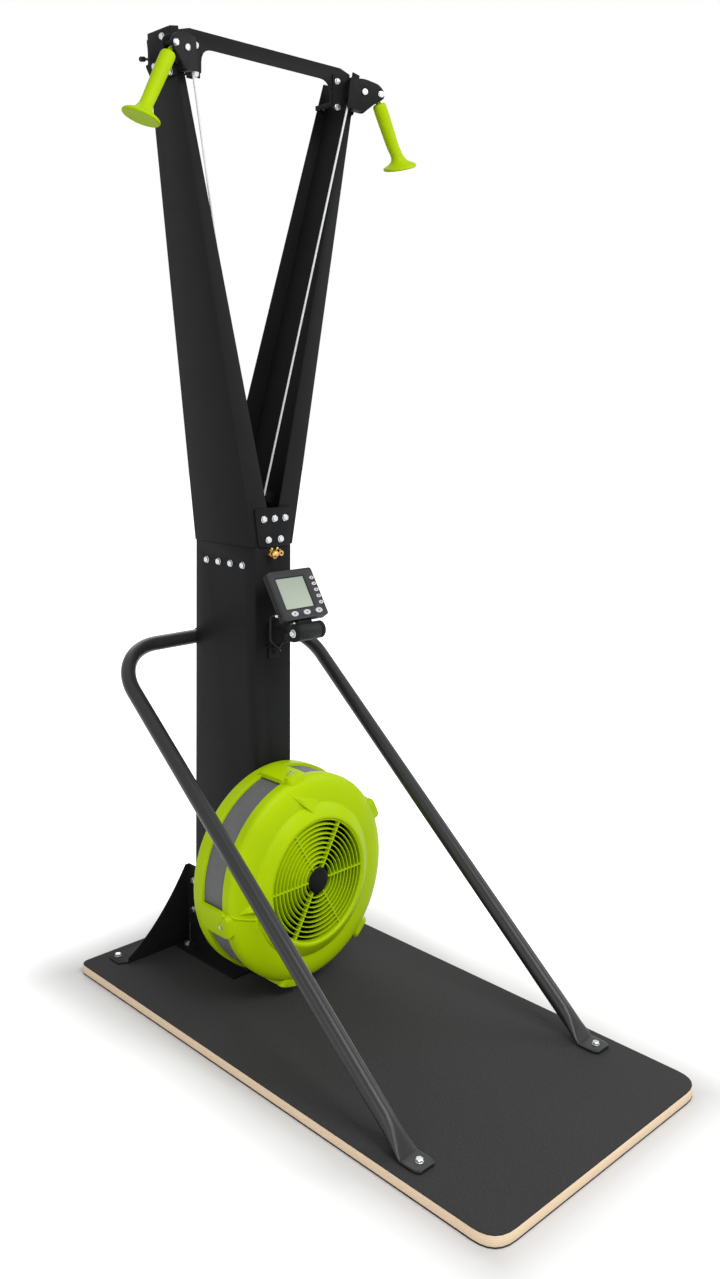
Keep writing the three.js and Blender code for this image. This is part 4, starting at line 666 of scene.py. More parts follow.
# The ring's lip is rounded over: each point lies outside the opening and behind the ring's front.
LIP = ((0.0085, 0.0012), (0.006, 0.0003), (0.0025, 0.0008), (0, 0.0032), (0, 0.010))
shoulder_front = SHELL_REAR - SHELL_DEPTH
ring_front = shoulder_front - RING_HEIGHT
shell_profile = [(SHELL_RADIUS, SHELL_REAR)]
for step in range(SHOULDER_STEPS + 1):
    angle = math.pi / 2 * step / SHOULDER_STEPS
    radius = SHELL_RADIUS - SHOULDER_REACH * (1 - math.cos(angle))
    shell_profile.append((radius, shoulder_front + SHOULDER_DEPTH * (1 - math.sin(angle))))
for step in range(RING_STEPS + 1):
    angle = math.pi / 2 * step / RING_STEPS
    radius = RING_RADIUS + RING_EDGE * (1 - math.sin(angle))
    shell_profile.append((radius, shoulder_front - RING_EDGE * (1 - math.cos(angle))))
shell_profile += [
    (RING_RADIUS - RING_DRAFT, shoulder_front - WALL),
    *[(OPENING + out, ring_front + back) for out, back in LIP],
    (RING_RADIUS - WALL, shoulder_front + WALL),
    (SHELL_RADIUS - SHOULDER_REACH, shoulder_front + WALL),
    (SHELL_RADIUS - WALL, shoulder_front + SHOULDER_DEPTH),
    (SHELL_RADIUS - WALL, SHELL_REAR),
]
front_shell = turned(bmesh.new(), shell_profile, FAN, REARWARD, FAN_SIDES, closed=True)


def beside_fan(degrees, across, y, radius):
    """A place on the fan by its spoke's angle, the offset across that spoke, y and the radius."""
    angle = math.radians(degrees)
    spoke = Vector((math.cos(angle), 0, math.sin(angle)))
    return FAN + spoke * radius + REARWARD.cross(spoke) * across + REARWARD * y


def on_shell(degrees, radius, lift=0.0):
    """A place that stands the lift in front of the shoulder."""
    drop = min(1, (SHELL_RADIUS - radius) / SHOULDER_REACH)
    sine = math.sqrt(1 - (1 - drop) ** 2)
    y = shoulder_front + SHOULDER_DEPTH * (1 - sine)
    return beside_fan(degrees, 0, y - lift, radius)


# The top scoop is a pinched fin over the ring's edge and the left one a long low hump. A thin
# ledge beside the left strap runs in to the ring and turns down along it. Each corner has its
# angle in degrees, its radius and its lift.
SCOOPS = (
    (
        (108, 0.204, 0.0005),
        (103, 0.190, 0.0040),
        (95.5, 0.150, 0.0120),
        (93.5, 0.149, 0.0112),
        (84.5, 0.170, 0.0006),
        (95, 0.174, 0.0004),
        (107, 0.198, -0.004),
        (96, 0.160, -0.004),
        (86, 0.166, -0.004),
    ),
    (
        (186, 0.208, 0.0005),
        (182.5, 0.188, 0.0005),
        (182.5, 0.166, 0.0008),
        (191, 0.166, 0.0008),
        (186, 0.186, 0.0062),
        (187, 0.165, 0.0098),
        (186, 0.200, -0.004),
        (184, 0.166, -0.004),
        (190, 0.166, -0.004),
    ),
)
LEDGE = (
    (186, 0.2185),
    (187.3, 0.2125),
    (188.5, 0.204),
    (190.5, 0.190),
    (192.8, 0.176),
    (194.6, 0.166),
)
LEDGE_TURN = ((194.6, 0.166), (198.5, 0.169), (202.5, 0.1736))
LEDGE_RADIUS = 0.0023
SCOOP_ROUNDING = 0.0020
for row in (LEDGE, LEDGE_TURN):
    swept(front_shell, [on_shell(*place) for place in row], LEDGE_RADIUS, 12)
piece_of("fan_front_shell_form", front_shell, lime, "frame", "fan_front_shell")
scoops = bmesh.new()
for scoop in SCOOPS:
    corners = [scoops.verts.new(on_shell(*corner)) for corner in scoop]
    hull = bmesh.ops.convex_hull(scoops, input=corners)
    loose = [item for item in hull["geom_interior"] if isinstance(item, bmesh.types.BMVert)]
    bmesh.ops.delete(scoops, geom=loose)
scoop_piece = piece_of("fan_shell_scoops", scoops, lime, "frame")
edge_rounding(scoop_piece, SCOOP_ROUNDING, segments=4, degrees=12)

FAN_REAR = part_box("fan_rear_shell")[1].y
RIM_RADIUS = 0.2246
RIM_DEPTH = 0.0337
RIM_FRONT = FAN_REAR - RIM_DEPTH
RIM_INNER = SHELL_RADIUS - WALL - FIT_GAP
RIM_EDGE = 0.0008
REAR_ROUNDING = ((0, 0.0065), (0.0008, 0.0030), (0.0026, 0.0010), (0.0055, 0))
PAN_BORE = 0.0223
rear_profile = [
    (RIM_INNER, RIM_FRONT),
    (RIM_RADIUS - RIM_EDGE, RIM_FRONT),
    (RIM_RADIUS, RIM_FRONT + RIM_EDGE),
    *[(RIM_RADIUS - inset, FAN_REAR - ahead) for inset, ahead in REAR_ROUNDING],
    (PAN_BORE, FAN_REAR),
    (PAN_BORE, FAN_REAR - WALL),
    (RIM_INNER, FAN_REAR - WALL),
]
rear_shell = turned(bmesh.new(), rear_profile, FAN, REARWARD, FAN_SIDES, closed=True)


def rim_strap(form, degrees, half, inner, outer, front, back, corner, edge=0.002, steps=24):
    """A strap that follows the fan's rim, with round front corners and rounded edges."""
    rows = []
    for radius, inset in (
        (inner, 0),
        (outer - edge, 0),
        (outer - edge * 0.3, edge * 0.3),
        (outer, edge),
    ):
        front_edge = []
        back_edge = []
        for step in range(steps + 1):
            along = (2 * step / steps - 1) * (half - inset)
            over = max(0, abs(along) - (half - corner))
            dip = corner - math.sqrt(max(corner**2 - over**2, 0))
            turn = degrees - math.degrees(along / outer)
            front_edge.append(beside_fan(turn, 0, front + inset + dip, radius))
            back_edge.append(beside_fan(turn, 0, back, radius))
        rows.append((front_edge, back_edge))
    loop = [rows[0][0], rows[1][0], rows[2][0], rows[3][0], rows[3][1], rows[0][1]]
    made = [[form.verts.new(point) for point in row] for row in loop]
    for near, far in zip(made, made[1:] + made[:1]):
        for i in range(steps):
            form.faces.new((near[i], near[i + 1], far[i + 1], far[i]))
    for end in (0, steps):
        form.faces.new([row[end] for row in made])


# Each strap has a rounded nose block at its front end and a screw on a low boss.
STRAP_DEGREES = (26, 99, 192, 256, 314)
STRAP_HALF = 0.030
STRAP_FRONT = SHELL_REAR - 0.0158
STRAP_REAR = RIM_FRONT + 0.005
STRAP_INNER = SHELL_RADIUS + FIT_GAP
STRAP_OUTER = STRAP_INNER + 0.009
STRAP_CORNER = 0.015
NOSE_HALF = 0.0265
NOSE_REACH = 0.0115
NOSE_DEPTH = 0.020
NOSE_LIFT = 0.0022
NOSE_SINK = 0.015
NOSE_CORNER = 0.011
NOSE_EDGE = 0.0042
SCREW_INSET = 0.0118
BOSS_HEIGHT = 0.0032
BOSS = (
    (0.0098, -0.002),
    (0.0088, 0.001),
    (0.0080, 0.0026),
    (0.0070, BOSS_HEIGHT),
    (0.0052, 0.0030),
    (0.0046, 0.0012),
)
nose_front = STRAP_FRONT - NOSE_REACH
strap_screws = bmesh.new()
for degrees in STRAP_DEGREES:
    rim_strap(
        rear_shell,
        degrees,
        STRAP_HALF,
        STRAP_INNER,
        STRAP_OUTER,
        STRAP_FRONT,
        STRAP_REAR,
        STRAP_CORNER,
    )
    rim_strap(
        rear_shell,
        degrees,
        NOSE_HALF,
        STRAP_INNER - NOSE_SINK,
        STRAP_OUTER + NOSE_LIFT,
        nose_front,
        nose_front + NOSE_DEPTH,
        NOSE_CORNER,
        NOSE_EDGE,
    )
    boss_at = beside_fan(degrees, 0, STRAP_FRONT + SCREW_INSET, STRAP_OUTER)
    spoke = (beside_fan(degrees, 0, 0, 1) - FAN).normalized()
    turned(rear_shell, BOSS, boss_at, spoke, 32)
    screw_at = boss_at + spoke * BOSS_HEIGHT
    hex_head(strap_screws, screw_at, spoke, radius=0.0040, height=0.0028, washer=0.0044)
piece_of("fan_rear_shell_form", rear_shell, lime, "frame", "fan_rear_shell")
piece_of("fan_strap_screws", strap_screws, zinc, "frame")


# Mesh band: a perforated grey sheet held between the two shells. Its fine round holes are staggered
# and drawn by the finish.
MESH_RADIUS = 0.2177
MESH_SHEET = 0.0015
MESH_LAP = 0.006
HOLE_PITCH = 0.0030
HOLE_SHARE = 0.3
ROW_SHARE = math.sqrt(0.75)
SHEET_DARK = (0.150, 0.150, 0.157)
SHEET_PALE = (0.195, 0.195, 0.203)
HOLE_COLOUR = (0.060, 0.060, 0.064)
perforated = Finish("perforated_band", "grey_mesh", Specular_IOR_Level=0.3)
x, y, z = perforated.axes()
across_index = (z - FAN.z).angle(x) * (MESH_RADIUS / HOLE_PITCH)
row_index = y * (1 / (HOLE_PITCH * ROW_SHARE))
stagger = (row_index * 0.5).fraction() > 0.5
sideways = ((across_index + stagger * 0.5).fraction() - 0.5) ** 2.0
lengthways = (row_index.fraction() - 0.5) ** 2.0 * ROW_SHARE**2
hole = (sideways + lengthways) < HOLE_SHARE**2
sheet_colour = perforated.blend(perforated.noise(60.0, 3.0), SHEET_DARK, SHEET_PALE)
perforated.set(
    Base_Color=perforated.blend(hole, sheet_colour, HOLE_COLOUR),
    Roughness=0.5 + 0.25 * hole,
)
perforated.bump(1.0 - hole, 0.0004, 0.5)
band_profile = [
    (MESH_RADIUS - MESH_SHEET, SHELL_REAR - MESH_LAP),
    (MESH_RADIUS, SHELL_REAR - MESH_LAP),
    (MESH_RADIUS, RIM_FRONT + MESH_LAP),
    (MESH_RADIUS - MESH_SHEET, RIM_FRONT + MESH_LAP),
]
band = turned(bmesh.new(), band_profile, FAN, REARWARD, FAN_SIDES, closed=True)
piece_of("fan_mesh_band_form", band, perforated, "frame", "fan_mesh_band")


# Fan grille: slanted rings on six spokes in the front shell's opening, moulded in one piece with
# their hub and rim, and with a black cap pushed on the hub.
GRILLE_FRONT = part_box("fan_grille")[0].y
GRILLE_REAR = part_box("fan_grille")[1].y
HUB_RADIUS = 0.026
HUB_DROP = 0.002
BAR_COUNT = 9
BAR_PITCH = 0.0102
BAR_WIDTH = 0.0022
BAR_EDGE = 0.0005
BAR_BEVEL = 0.0007
BAR_REAR = (0.0021, 0.0031)
RIM_WIDTH = 0.0025
SPOKE_COUNT = 6
SPOKE_HALF = 0.0016
SPOKE_CREST_SHARE = 0.7
SPOKE_DROP = 0.0012
SPOKE_BEVEL = 0.001
SPOKE_ENDS = (HUB_RADIUS * 0.8, OPENING - 0.001)
grille = bmesh.new()
for bar in range(1, BAR_COUNT + 1):
    radius = HUB_RADIUS + BAR_PITCH * bar
    section = [
        (radius + BAR_EDGE, GRILLE_FRONT),
        (radius + BAR_WIDTH - BAR_EDGE, GRILLE_FRONT),
        (radius + BAR_WIDTH, GRILLE_FRONT + BAR_BEVEL),
        (radius + BAR_REAR[1], GRILLE_REAR),
        (radius + BAR_REAR[0], GRILLE_REAR),
        (radius, GRILLE_FRONT + BAR_BEVEL),
    ]
    turned(grille, section, FAN, REARWARD, 96, closed=True)
rim_section = [
    (OPENING - RIM_WIDTH, GRILLE_FRONT + FIT_GAP),
    (OPENING - FIT_GAP, GRILLE_FRONT + FIT_GAP),
    (OPENING - FIT_GAP, GRILLE_REAR),
    (OPENING - RIM_WIDTH, GRILLE_REAR),
]
turned(grille, rim_section, FAN, REARWARD, FAN_SIDES, closed=True)
hub_profile = [(HUB_RADIUS, GRILLE_FRONT + HUB_DROP), (HUB_RADIUS, GRILLE_REAR)]
turned(grille, hub_profile, FAN, REARWARD, 64)
crest = GRILLE_FRONT + SPOKE_DROP
spoke_section = (
    (-SPOKE_HALF * SPOKE_CREST_SHARE, crest),
    (SPOKE_HALF * SPOKE_CREST_SHARE, crest),
    (SPOKE_HALF, crest + SPOKE_BEVEL),
    (SPOKE_HALF, GRILLE_REAR),
    (-SPOKE_HALF, GRILLE_REAR),
    (-SPOKE_HALF, crest + SPOKE_BEVEL),
)
for i in range(SPOKE_COUNT):
    degrees = 360 * i / SPOKE_COUNT
    rings = [
        [beside_fan(degrees, across, y, radius) for across, y in spoke_section]
        for radius in SPOKE_ENDS
    ]
    skin(grille, rings)
piece_of("fan_grille_form", grille, lime, "frame", "fan_grille")

cap_low, cap_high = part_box("fan_hub_cap")
CAP_RADIUS = 0.0275
CAP_SHARES = ((1, 0), (1, 0.0016), (0.985, 0.0028), (0.93, 0.0040), (0.84, 0.0047))
CAP_FACE_SHARE = 0.7
cap_profile = [(CAP_RADIUS * share, cap_high.y - ahead) for share, ahead in CAP_SHARES]
cap_profile.append((CAP_RADIUS * CAP_FACE_SHARE, cap_low.y))
cap = turned(bmesh.new(), cap_profile, FAN, REARWARD, 72)
cap_moulding = mottled(
    "cap_moulding",
    "black_plastic",
    colours=((0.0055, 0.0058, 0.0062), (0.0090, 0.0094, 0.0100)),
    patches=(60.0, 3.0),
    roughness=(0.36, 0.50),
    clouds=(140.0, 3.0),
    Specular_IOR_Level=0.06,
)
piece_of("fan_hub_cap_form", cap, cap_moulding, "frame", "fan_hub_cap")


# Fan wheel and cord drums: black mouldings that turn on a steel shaft, behind the grille and in the
# column. The shaft, its front bearing and the head pulleys' axle bolts are of bright zinc-plated
# steel. Little of them shows, so the solids stay and take their finishes.
MOULDING_ROUNDING = 0.0006
TURNED_ROUNDING = 0.0005
for name in ("fan_wheel", "cord_drum_right", "cord_drum_left"):
    edge_rounding(dress(name, black_moulding), MOULDING_ROUNDING)
for name in ("fan_shaft", "front_bearing", "pulley_axle_right", "pulley_axle_left"):
    edge_rounding(dress(name, zinc), TURNED_ROUNDING, degrees=40)


# Head pulleys: black moulded wheels with a deep cord groove and recessed faces. Each turns on its
# bolt between the housing's two cheeks.
CORD_RADIUS = 0.0025
PULLEY_RADIUS = 0.0333
PULLEY_HALF = 0.010
PULLEY_BORE = 0.0053
PULLEY_EDGE = 0.0006
PULLEY_RECESS = 0.002
PULLEY_CORD_RADIUS = 0.031
GROOVE = PULLEY_CORD_RADIUS - CORD_RADIUS - FIT_GAP
HALF_PULLEY = [
    (PULLEY_BORE, PULLEY_HALF),
    (0.012, PULLEY_HALF),
    (0.0128, PULLEY_HALF - PULLEY_RECESS),
    (0.0245, PULLEY_HALF - PULLEY_RECESS),
    (0.0262, PULLEY_HALF),
    (PULLEY_RADIUS - PULLEY_EDGE, PULLEY_HALF),
    (PULLEY_RADIUS, PULLEY_HALF - PULLEY_EDGE),
    (PULLEY_RADIUS, PULLEY_HALF - 0.0016),
    (PULLEY_CORD_RADIUS - 0.0005, 0.0045),
    (GROOVE, 0.0026),
    (GROOVE, 0.0010),
]
pulley_profile = HALF_PULLEY + [(radius, -along) for radius, along in reversed(HALF_PULLEY)]
for side in SIDES:
    turn = joints[f"pulley_turn_{side}"]
    wheel = turned(bmesh.new(), pulley_profile, turn["pos_m"], turn["axis"], 64, closed=True)
    body = f"head_pulley_{side}"
    piece_of(f"head_pulley_{side}_wheel", wheel, black_moulding, body, body)


# Handles: grips moulded in lime plastic that taper down to a broad flared pommel with a dished
# face. Each hangs on its cord, which enters the cone on top.
grip = mottled(
    "lime_grip",
    "lime_plastic",
    colours=((0.340, 0.500, 0.0012), (0.395, 0.560, 0.0025)),
    patches=(14.0, 3.0),
    roughness=(0.44, 0.54),
    clouds=(70.0, 3.0),
    grain=(700.0, 2.0),
    relief=(0.00003, 0.2),
    Specular_IOR_Level=0.07,
)
CORD_LEAN = math.radians(25.4)
NECK_DROP = 0.025
NECK_LENGTH = 0.013
HANDLE_LENGTH = 0.168
POMMEL_LEAN = math.radians(20.8)
POMMEL_SWING = math.radians(-19.7)
BEND_START = 0.062
GRIP_PROFILE = (
    (0.0042, 0.0),
    (0.0050, 0.0008),
    (0.0066, 0.0110),
    (0.0074, 0.0126),
    (0.0110, 0.0130),
    (0.0136, 0.0138),
    (0.0154, 0.0158),
    (0.0165, 0.0188),
    (0.0170, 0.0240),
    (0.0170, 0.0420),
    (0.0167, 0.0640),
    (0.0161, 0.0900),
    (0.0155, 0.1120),
    (0.0151, 0.1260),
    (0.0149, 0.1360),
    (0.0149, 0.1430),
    (0.0153, 0.1480),
    (0.0162, 0.1525),
    (0.0178, 0.1565),
    (0.0202, 0.1602),
    (0.0235, 0.1636),
    (0.0275, 0.1665),
    (0.0318, 0.1689),
    (0.0358, 0.1708),
    (0.0388, 0.1723),
    (0.0408, 0.1740),
    (0.0418, 0.1760),
    (0.0420, 0.1778),
    (0.0413, 0.1796),
    (0.0399, 0.1807),
    (0.0382, 0.1810),
    (0.0360, 0.1804),
    (0.0335, 0.1800),
)
pommel_axis = Vector(
    (
        math.sin(POMMEL_LEAN) * math.cos(POMMEL_SWING),
        -math.sin(POMMEL_LEAN) * math.sin(POMMEL_SWING),
        -math.cos(POMMEL_LEAN),
    )
)
necks = {}
for side, sign in SIDES.items():
    centre = Vector(joints[f"pulley_turn_{side}"]["pos_m"])
    down = Vector(joints[f"handle_pull_{side}"]["axis"]).normalized()
    out = mirrored(head_along, sign)
    cord_normal = out * math.cos(CORD_LEAN) + UP * math.sin(CORD_LEAN)
    cord_down = out * math.sin(CORD_LEAN) - UP * math.cos(CORD_LEAN)
    leaves = centre + cord_normal * PULLEY_CORD_RADIUS
    neck_top = leaves + cord_down * NECK_DROP
    necks[side] = (centre, cord_normal, leaves, neck_top)
    face = neck_top + down * (NECK_LENGTH + HANDLE_LENGTH)
    rings = []
    for radius, along in GRIP_PROFILE:
        above = NECK_LENGTH + HANDLE_LENGTH - along
        share = max(0, 1 - above / BEND_START)
        share = share * share * (3 - 2 * share)
        axis = down.lerp(mirrored(pommel_axis, sign), share).normalized()
        rings.append(round_ring(face - axis * above, axis, radius, 72))
    handle = skin(bmesh.new(), rings)
    piece_of(f"handle_{side}_grip", handle, grip, f"handle_{side}", f"handle_{side}")


# Drive cords: white braid from each drum inside the column, past its guide post and over the head
# pulley. The run from pulley to handle is a piece of its own.
STRAND = math.tau / 0.0035
BRAID_DARK = (0.62, 0.63, 0.62)
BRAID_PALE = (0.82, 0.83, 0.81)
braid = Finish("white_braid", "cord", Specular_IOR_Level=0.25)
bx, by, bz = braid.axes()
twist = ((bz + bx + by) * STRAND).sine() * ((bz - bx + by) * STRAND).sine()
braid.set(
    Base_Color=braid.blend((twist * 0.5 + 0.5).clamped(), BRAID_DARK, BRAID_PALE),
    Roughness=0.6 + 0.2 * braid.noise(200.0, 3.0),
)
braid.bump(twist, 0.0003, 0.5)
GUIDE = Vector((0.019, 0.3515, 1.092))
POST_BEND = 0.0138
DRUM_REACH = 0.019
RUN_LAP = 0.0002
CORD_SIDES = 16
PULL_STEPS = 8
for side, sign in SIDES.items():
    centre, cord_normal, leaves, neck_top = necks[side]
    axis = Vector(joints[f"pulley_turn_{side}"]["axis"]).normalized()
    guide = mirrored(GUIDE, sign)
    inward = (guide - centre) - axis * (guide - centre).dot(axis)
    toward = inward.normalized()
    above = toward.cross(axis).normalized()
    above = above if above.z > 0 else -above
    cosine = PULLEY_CORD_RADIUS / inward.length
    arrives = toward * cosine + above * math.sqrt(1 - cosine**2)
    middle = (arrives + cord_normal).normalized()
    half_turn = arrives.angle(cord_normal) / 2
    over_pulley = centre + middle * PULLEY_CORD_RADIUS / math.cos(half_turn)
    drum = Vector((DRUM_REACH, joints[f"drum_turn_{side}"]["pos_m"][1], FAN.z))
    down = (neck_top - leaves).normalized()
    corners = [(over_pulley, PULLEY_CORD_RADIUS), (guide, POST_BEND)]
    route = bent(leaves + down * RUN_LAP, corners, drum, 24)
    run = swept(bmesh.new(), route, CORD_RADIUS, CORD_SIDES)
    piece_of(f"drive_cord_{side}_run", run, braid, "frame", f"drive_cord_{side}")
    pull_end = neck_top - down * FIT_GAP
    pull_route = [leaves.lerp(pull_end, step / PULL_STEPS) for step in range(PULL_STEPS + 1)]
    pull = swept(bmesh.new(), pull_route, CORD_RADIUS, CORD_SIDES)
    stretch = piece_of(f"drive_cord_{side}_pull", pull, braid, None, f"drive_cord_{side}")
    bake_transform(stretch)


# Cord anchors: two turned brass barrels on the column's front under the splice plate, where the
# cords are clipped away, and between them a brass wing nut with a round knob and small ears.
brass = mottled(
    "turned_brass",
    "brass",
    colours=((0.50, 0.27, 0.075), (0.72, 0.44, 0.16)),
    patches=(220.0, 3.0),
    roughness=(0.33, 0.43),
    clouds=(500.0, 3.0),
    Metallic=1.0,
)
LATHE_MARKS = 9000.0
brass.bump((brass.axes()[1] * LATHE_MARKS).sine(), 0.00001, 0.15)
ANCHOR_ROUNDING = 0.0006
for side in SIDES:
    edge_rounding(dress(f"cord_anchor_{side}", brass), ANCHOR_ROUNDING, degrees=40)
KNOB = Vector((-0.0150, 0.2675, 0.9722))
KNOB_PARTS = (
    (KNOB, 0.0086),
    (Vector((-0.0212, 0.2715, 0.9836)), 0.0031),
    (Vector((-0.0052, 0.2715, 0.9838)), 0.0031),
    (Vector((-0.0146, 0.2690, 0.9640)), 0.0044),
)
EAR_STEM = 0.0010
STEM_ROOT = KNOB + REARWARD * 0.004
BALL_SIDES = 28
BALL_ROWS = 16


def ball(form, centre, radius):
    """A sphere of level rings between two poles, its faces in the same order each run."""
    made = []
    for row in range(1, BALL_ROWS):
        level = math.pi * row / BALL_ROWS
        middle = centre + UP * (radius * math.cos(level))
        ring = round_ring(middle, UP, radius * math.sin(level), BALL_SIDES)
        made.append([form.verts.new(point) for point in ring])
    top, bottom = (form.verts.new(centre + UP * rise) for rise in (radius, -radius))
    for i in range(BALL_SIDES):
        j = (i + 1) % BALL_SIDES
        form.faces.new((top, made[0][i], made[0][j]))
        for near, far in zip(made, made[1:]):
            form.faces.new((near[i], far[i], far[j], near[j]))
        form.faces.new((bottom, made[-1][j], made[-1][i]))


wing_nut = bmesh.new()
for middle, radius in KNOB_PARTS:
    ball(wing_nut, middle, radius)
for middle, _ in KNOB_PARTS[1:3]:
    swept(wing_nut, [STEM_ROOT, middle], EAR_STEM, 12)
piece_of("anchor_wing_nut", wing_nut, brass, "frame")


# Monitor: a case and bezel of grained black plastic that tilt on a barrel in the arm's fork, with a
# grey-green display, soft grey buttons and a short cable.
case_moulding = mottled(
    "monitor_moulding",
    "black_plastic",
    colours=((0.019, 0.0192, 0.0205), (0.030, 0.0303, 0.032)),
    patches=(40.0, 3.0),
    roughness=(0.40, 0.55),
    clouds=(120.0, 3.0),
    grain=(1500.0, 2.0),
    relief=(0.0001, 0.4),
    Specular_IOR_Level=0.2,
)
CASE_ROUNDING = 0.0012
BEZEL_ROUNDING = 0.0016
edge_rounding(dress("monitor_case", black_moulding), CASE_ROUNDING, segments=3, degrees=40)
edge_rounding(dress("monitor_bezel", case_moulding), BEZEL_ROUNDING, degrees=40)
# Painted shading: the display is drawn lighter at its foot and darker towards its top.
DISPLAY_LOW = (0.395, 0.440, 0.355)
DISPLAY_SHADED_TOP = (0.315, 0.365, 0.300)
WINDOW_ROUNDING = 0.0006
display = Finish("monitor_display", "display", Specular_IOR_Level=0.2)
window_low, window_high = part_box("monitor_window")
top_shade_share = (display.axes()[2] - window_low.z) * (1 / (window_high.z - window_low.z))
display.set(
    Base_Color=display.blend(top_shade_share.clamped(), DISPLAY_LOW, DISPLAY_SHADED_TOP),
    Roughness=0.34 + 0.08 * display.noise(120.0, 3.0),
)
edge_rounding(dress("monitor_window", display), WINDOW_ROUNDING)
button_rubber = mottled(
    "button_rubber",
    "button_grey",
    colours=((0.46, 0.47, 0.49), (0.58, 0.59, 0.61)),
    patches=(80.0, 3.0),
    roughness=(0.50, 0.65),
    clouds=(200.0, 3.0),
    grain=(2000.0, 3.0),
    relief=(0.00008, 0.4),
    Specular_IOR_Level=0.35,
)
MONITOR_LEAN = math.radians(33)
FACE_REACH = 0.088
FACE_HEIGHT = 0.8883
face_up = Vector((0, math.sin(MONITOR_LEAN), math.cos(MONITOR_LEAN)))
face_out = Vector((0, -math.cos(MONITOR_LEAN), math.sin(MONITOR_LEAN)))
face_middle = Vector((0, COLUMN_FRONT - FACE_REACH, FACE_HEIGHT))


def on_face(across, up, out):
    """A place on the monitor by its offsets from the middle of the face."""
    return face_middle + OUTWARD * across + face_up * up + face_out * out


# Each button has a small raised mark, black and plain.
BUTTON_ROW = -0.046
BUTTON_ROW_PLACES = (-0.0310, 0.0045, 0.0400)
BUTTON_COLUMN = 0.055
BUTTON_COLUMN_PLACES = (0.0330, 0.0181, 0.0030, -0.0125, -0.0280)
BUTTON_FACE = 0.0012
BUTTON_ROUNDING = 0.0007
MARK_RADIUS = 0.0018
MARK_HEIGHT = 0.00015
MARK_PROFILE = ((MARK_RADIUS, -MARK_HEIGHT), (MARK_RADIUS * 0.9, MARK_HEIGHT))
buttons = {f"button_lower_{i}": (x, BUTTON_ROW) for i, x in enumerate(BUTTON_ROW_PLACES, 1)}
for i, up in enumerate(BUTTON_COLUMN_PLACES, 1):
    buttons[f"button_side_{i}"] = (BUTTON_COLUMN, up)
for name, (across, up) in buttons.items():
    edge_rounding(dress(name, button_rubber), BUTTON_ROUNDING, segments=3, degrees=40)
    mark = turned(bmesh.new(), MARK_PROFILE, on_face(across, up, BUTTON_FACE), face_out, 20)
    piece_of(f"{name}_mark", mark, black_moulding, name)

# Painted shadow: a thin black frame lines the window where its recess in the bezel falls into
# shade.
# Each of its corners has an inset and a height above the face.
WINDOW_MIDDLE = (-0.008, 0.0034)
WINDOW_HALF = (0.042, 0.039)
RECESS_SHADOW_FRAME = ((0, -0.0013), (0, -0.0004), (0.0018, -0.0006), (0.0022, -0.0013))
recess_shadow = bmesh.new()
recess_shadow_rows = []
for inset, out in RECESS_SHADOW_FRAME:
    row = [
        on_face(
            WINDOW_MIDDLE[0] + across * (WINDOW_HALF[0] - inset),
            WINDOW_MIDDLE[1] + up * (WINDOW_HALF[1] - inset),
            out,
        )
        for across, up in ((-1, -1), (1, -1), (1, 1), (-1, 1))
    ]
    recess_shadow_rows.append([recess_shadow.verts.new(point) for point in row])
for near, far in zip(recess_shadow_rows, recess_shadow_rows[1:] + recess_shadow_rows[:1]):
    for i in range(4):
        recess_shadow.faces.new((near[i], near[i - 1], far[i - 1], far[i]))
piece_of("monitor_window_recess_shadow", recess_shadow, black_moulding, "monitor")

TILT = Vector(joints["monitor_tilt"]["pos_m"])
EAR_OUTER = 0.0398
tilt_bolts = bmesh.new()
for sign in SIDES.values():
    at = mirrored((EAR_OUTER, TILT.y, TILT.z), sign)
    hex_head(tilt_bolts, at, OUTWARD * sign, washer=0.0090)
piece_of("monitor_tilt_bolts", tilt_bolts, zinc, "frame")

CABLE_SIDE = -0.0663
CABLE_BEND = 0.014
CABLE_RADIUS = 0.002
CABLE_START = (CABLE_SIDE, -0.041, -0.01365)
CABLE_TURN_DROP = 0.0195
CABLE_FOOT_DROP = 0.048
CABLE_END_SIDE = -0.020
PLUG = ((0.0029, 0.0), (0.0033, 0.0006), (0.0033, 0.0070), (0.0026, 0.0078), (0.0026, 0.0095))
cable_start = on_face(*CABLE_START)
cable_back = cable_start.y + 2 * CABLE_BEND
cable_foot = TILT.z - CABLE_FOOT_DROP
cable_corners = [
    Vector((CABLE_SIDE, cable_back, cable_start.z)),
    Vector((CABLE_SIDE, cable_back, TILT.z - CABLE_TURN_DROP)),
    Vector((CABLE_SIDE / 2, cable_back, cable_foot)),
]
cable_end = Vector((CABLE_END_SIDE, COLUMN_FRONT - FIT_GAP, cable_foot))
cable_route = bent(cable_start, [(at, CABLE_BEND) for at in cable_corners], cable_end, 12)
cable = swept(bmesh.new(), cable_route, CABLE_RADIUS, 16)
cable_loop = piece_of("monitor_cable_loop", cable, black_moulding, None, "monitor_cable")
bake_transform(cable_loop)
plug = turned(bmesh.new(), PLUG, cable_start, REARWARD, 24)
piece_of("monitor_cable_plug", plug, zinc, "monitor")


# Studio: a pale floor that keeps the shadow and fades into a white surround, with a painted shadow
# band round the board, under five large soft lights. The surround lights the machine evenly, and is
# white only where it is seen.
def white_rays(nodes):
    """1 for the rays that show the background, straight, in a mirror or through glass, else 0."""
    paths = nodes.node("ShaderNodeLightPath")
    kinds = ("Camera", "Glossy", "Transmission")
    return sum(paths.beside(f"Is {kind} Ray") for kind in kinds).clamped()


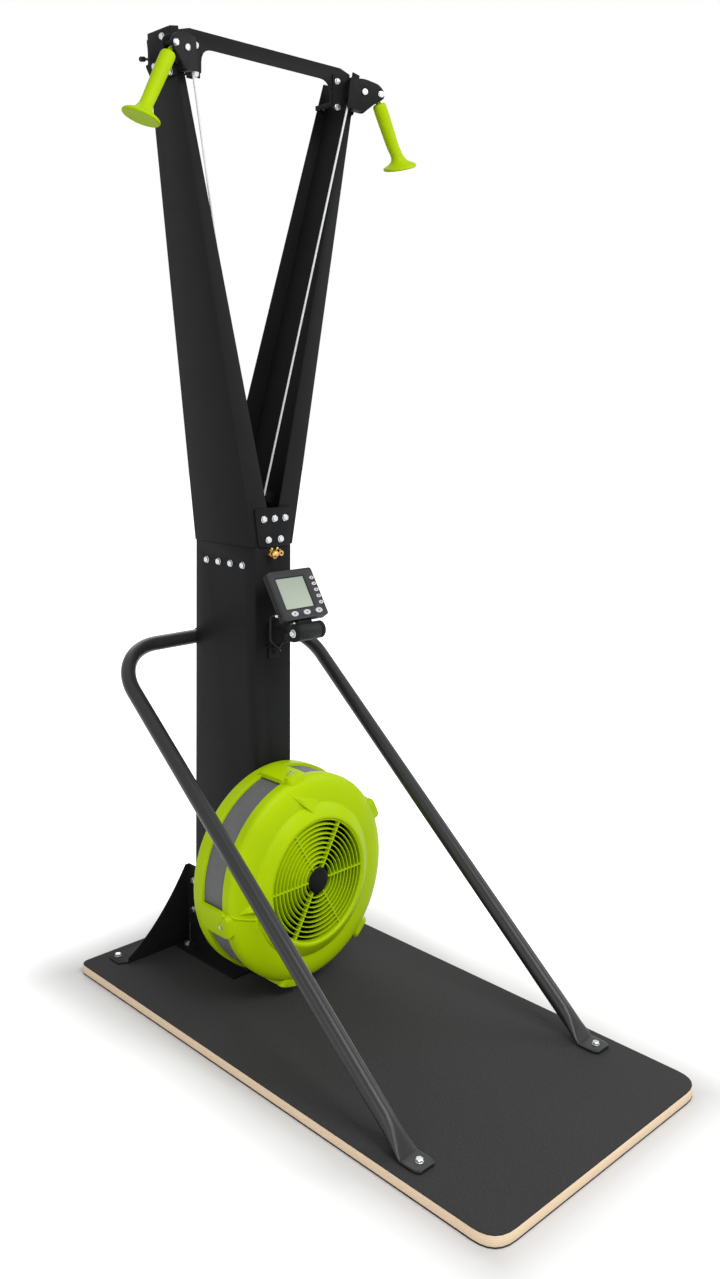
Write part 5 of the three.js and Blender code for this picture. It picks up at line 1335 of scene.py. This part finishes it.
FLOOR_REACH = 14.0
FLOOR_DROP = 0.0005
PAINTED_SHADOW_RUN = 0.30
FLOOR_DARK = (0.66, 0.66, 0.66)
FLOOR_PALE = (0.68, 0.68, 0.68)
BLACK = (0, 0, 0)
WHITE = (1, 1, 1)
floor_form = bmesh.new()
bmesh.ops.create_grid(floor_form, x_segments=1, y_segments=1, size=FLOOR_REACH)
floor_mesh = bpy.data.meshes.new("studio_floor")
floor_form.to_mesh(floor_mesh)
floor_form.free()
floor = bpy.data.objects.new("studio_floor", floor_mesh)
bpy.context.scene.collection.objects.link(floor)
floor.location.z = -FLOOR_DROP
floor_finish = Finish(
    "studio_floor", "rubber_mat", Roughness=0.95, Specular_IOR_Level=0.0, Emission_Strength=1.0
)
# Painted shadow: the floor's white glow is held back beside the board and fades in over a short
# run, so a grey band hugs the platform on top of its real shadow.
fx, fy = floor_finish.axes()[:2]
beside = ((fx * fx) ** 0.5 - board_high.x).clamped()
beyond = ((fy * fy) ** 0.5 - board_high.y).clamped()
distance = (beside * beside + beyond * beyond) ** 0.5
painted_shadow_fade = (distance * (1 / PAINTED_SHADOW_RUN)).clamped()
floor_finish.set(
    Base_Color=floor_finish.blend(floor_finish.noise(1.5, 3.0), FLOOR_DARK, FLOOR_PALE),
    Emission_Color=floor_finish.blend(painted_shadow_fade * white_rays(floor_finish), BLACK, WHITE),
)
floor.data.materials.append(floor_finish.material)

AMBIENT = 0.44
world = bpy.data.worlds.new("studio_surround")
bpy.context.scene.world = world
world.use_nodes = True
surround = Nodes(world.node_tree)
background = world.node_tree.nodes["Background"].inputs
surround.feed(background["Color"], (*WHITE, 1))
surround.feed(background["Strength"], AMBIENT + (1 - AMBIENT) * white_rays(surround))

LIGHTS_AIM = Vector((0, 0.1, 0.9))


def soft_light(name, at, size, power):
    """A square area light that faces the machine."""
    light = bpy.data.lights.new(name, "AREA")
    light.shape = "SQUARE"
    light.size = size
    light.energy = power
    lamp = bpy.data.objects.new(name, light)
    bpy.context.scene.collection.objects.link(lamp)
    lamp.location = at
    lamp.rotation_mode = "QUATERNION"
    lamp.rotation_quaternion = (LIGHTS_AIM - Vector(at)).to_track_quat("-Z", "Y")


soft_light("key_light", (-0.3, -3.0, 4.0), size=2.0, power=118)
soft_light("front_light", (-1.9, -2.9, 2.1), size=0.55, power=14)
soft_light("left_light", (-3.4, -0.8, 1.3), size=1.8, power=21)
soft_light("right_light", (3.4, -1.6, 2.6), size=2.0, power=35)
soft_light("rear_light", (1.6, 3.2, 3.2), size=2.4, power=40)

bpy.context.scene.view_settings.view_transform = "Standard"
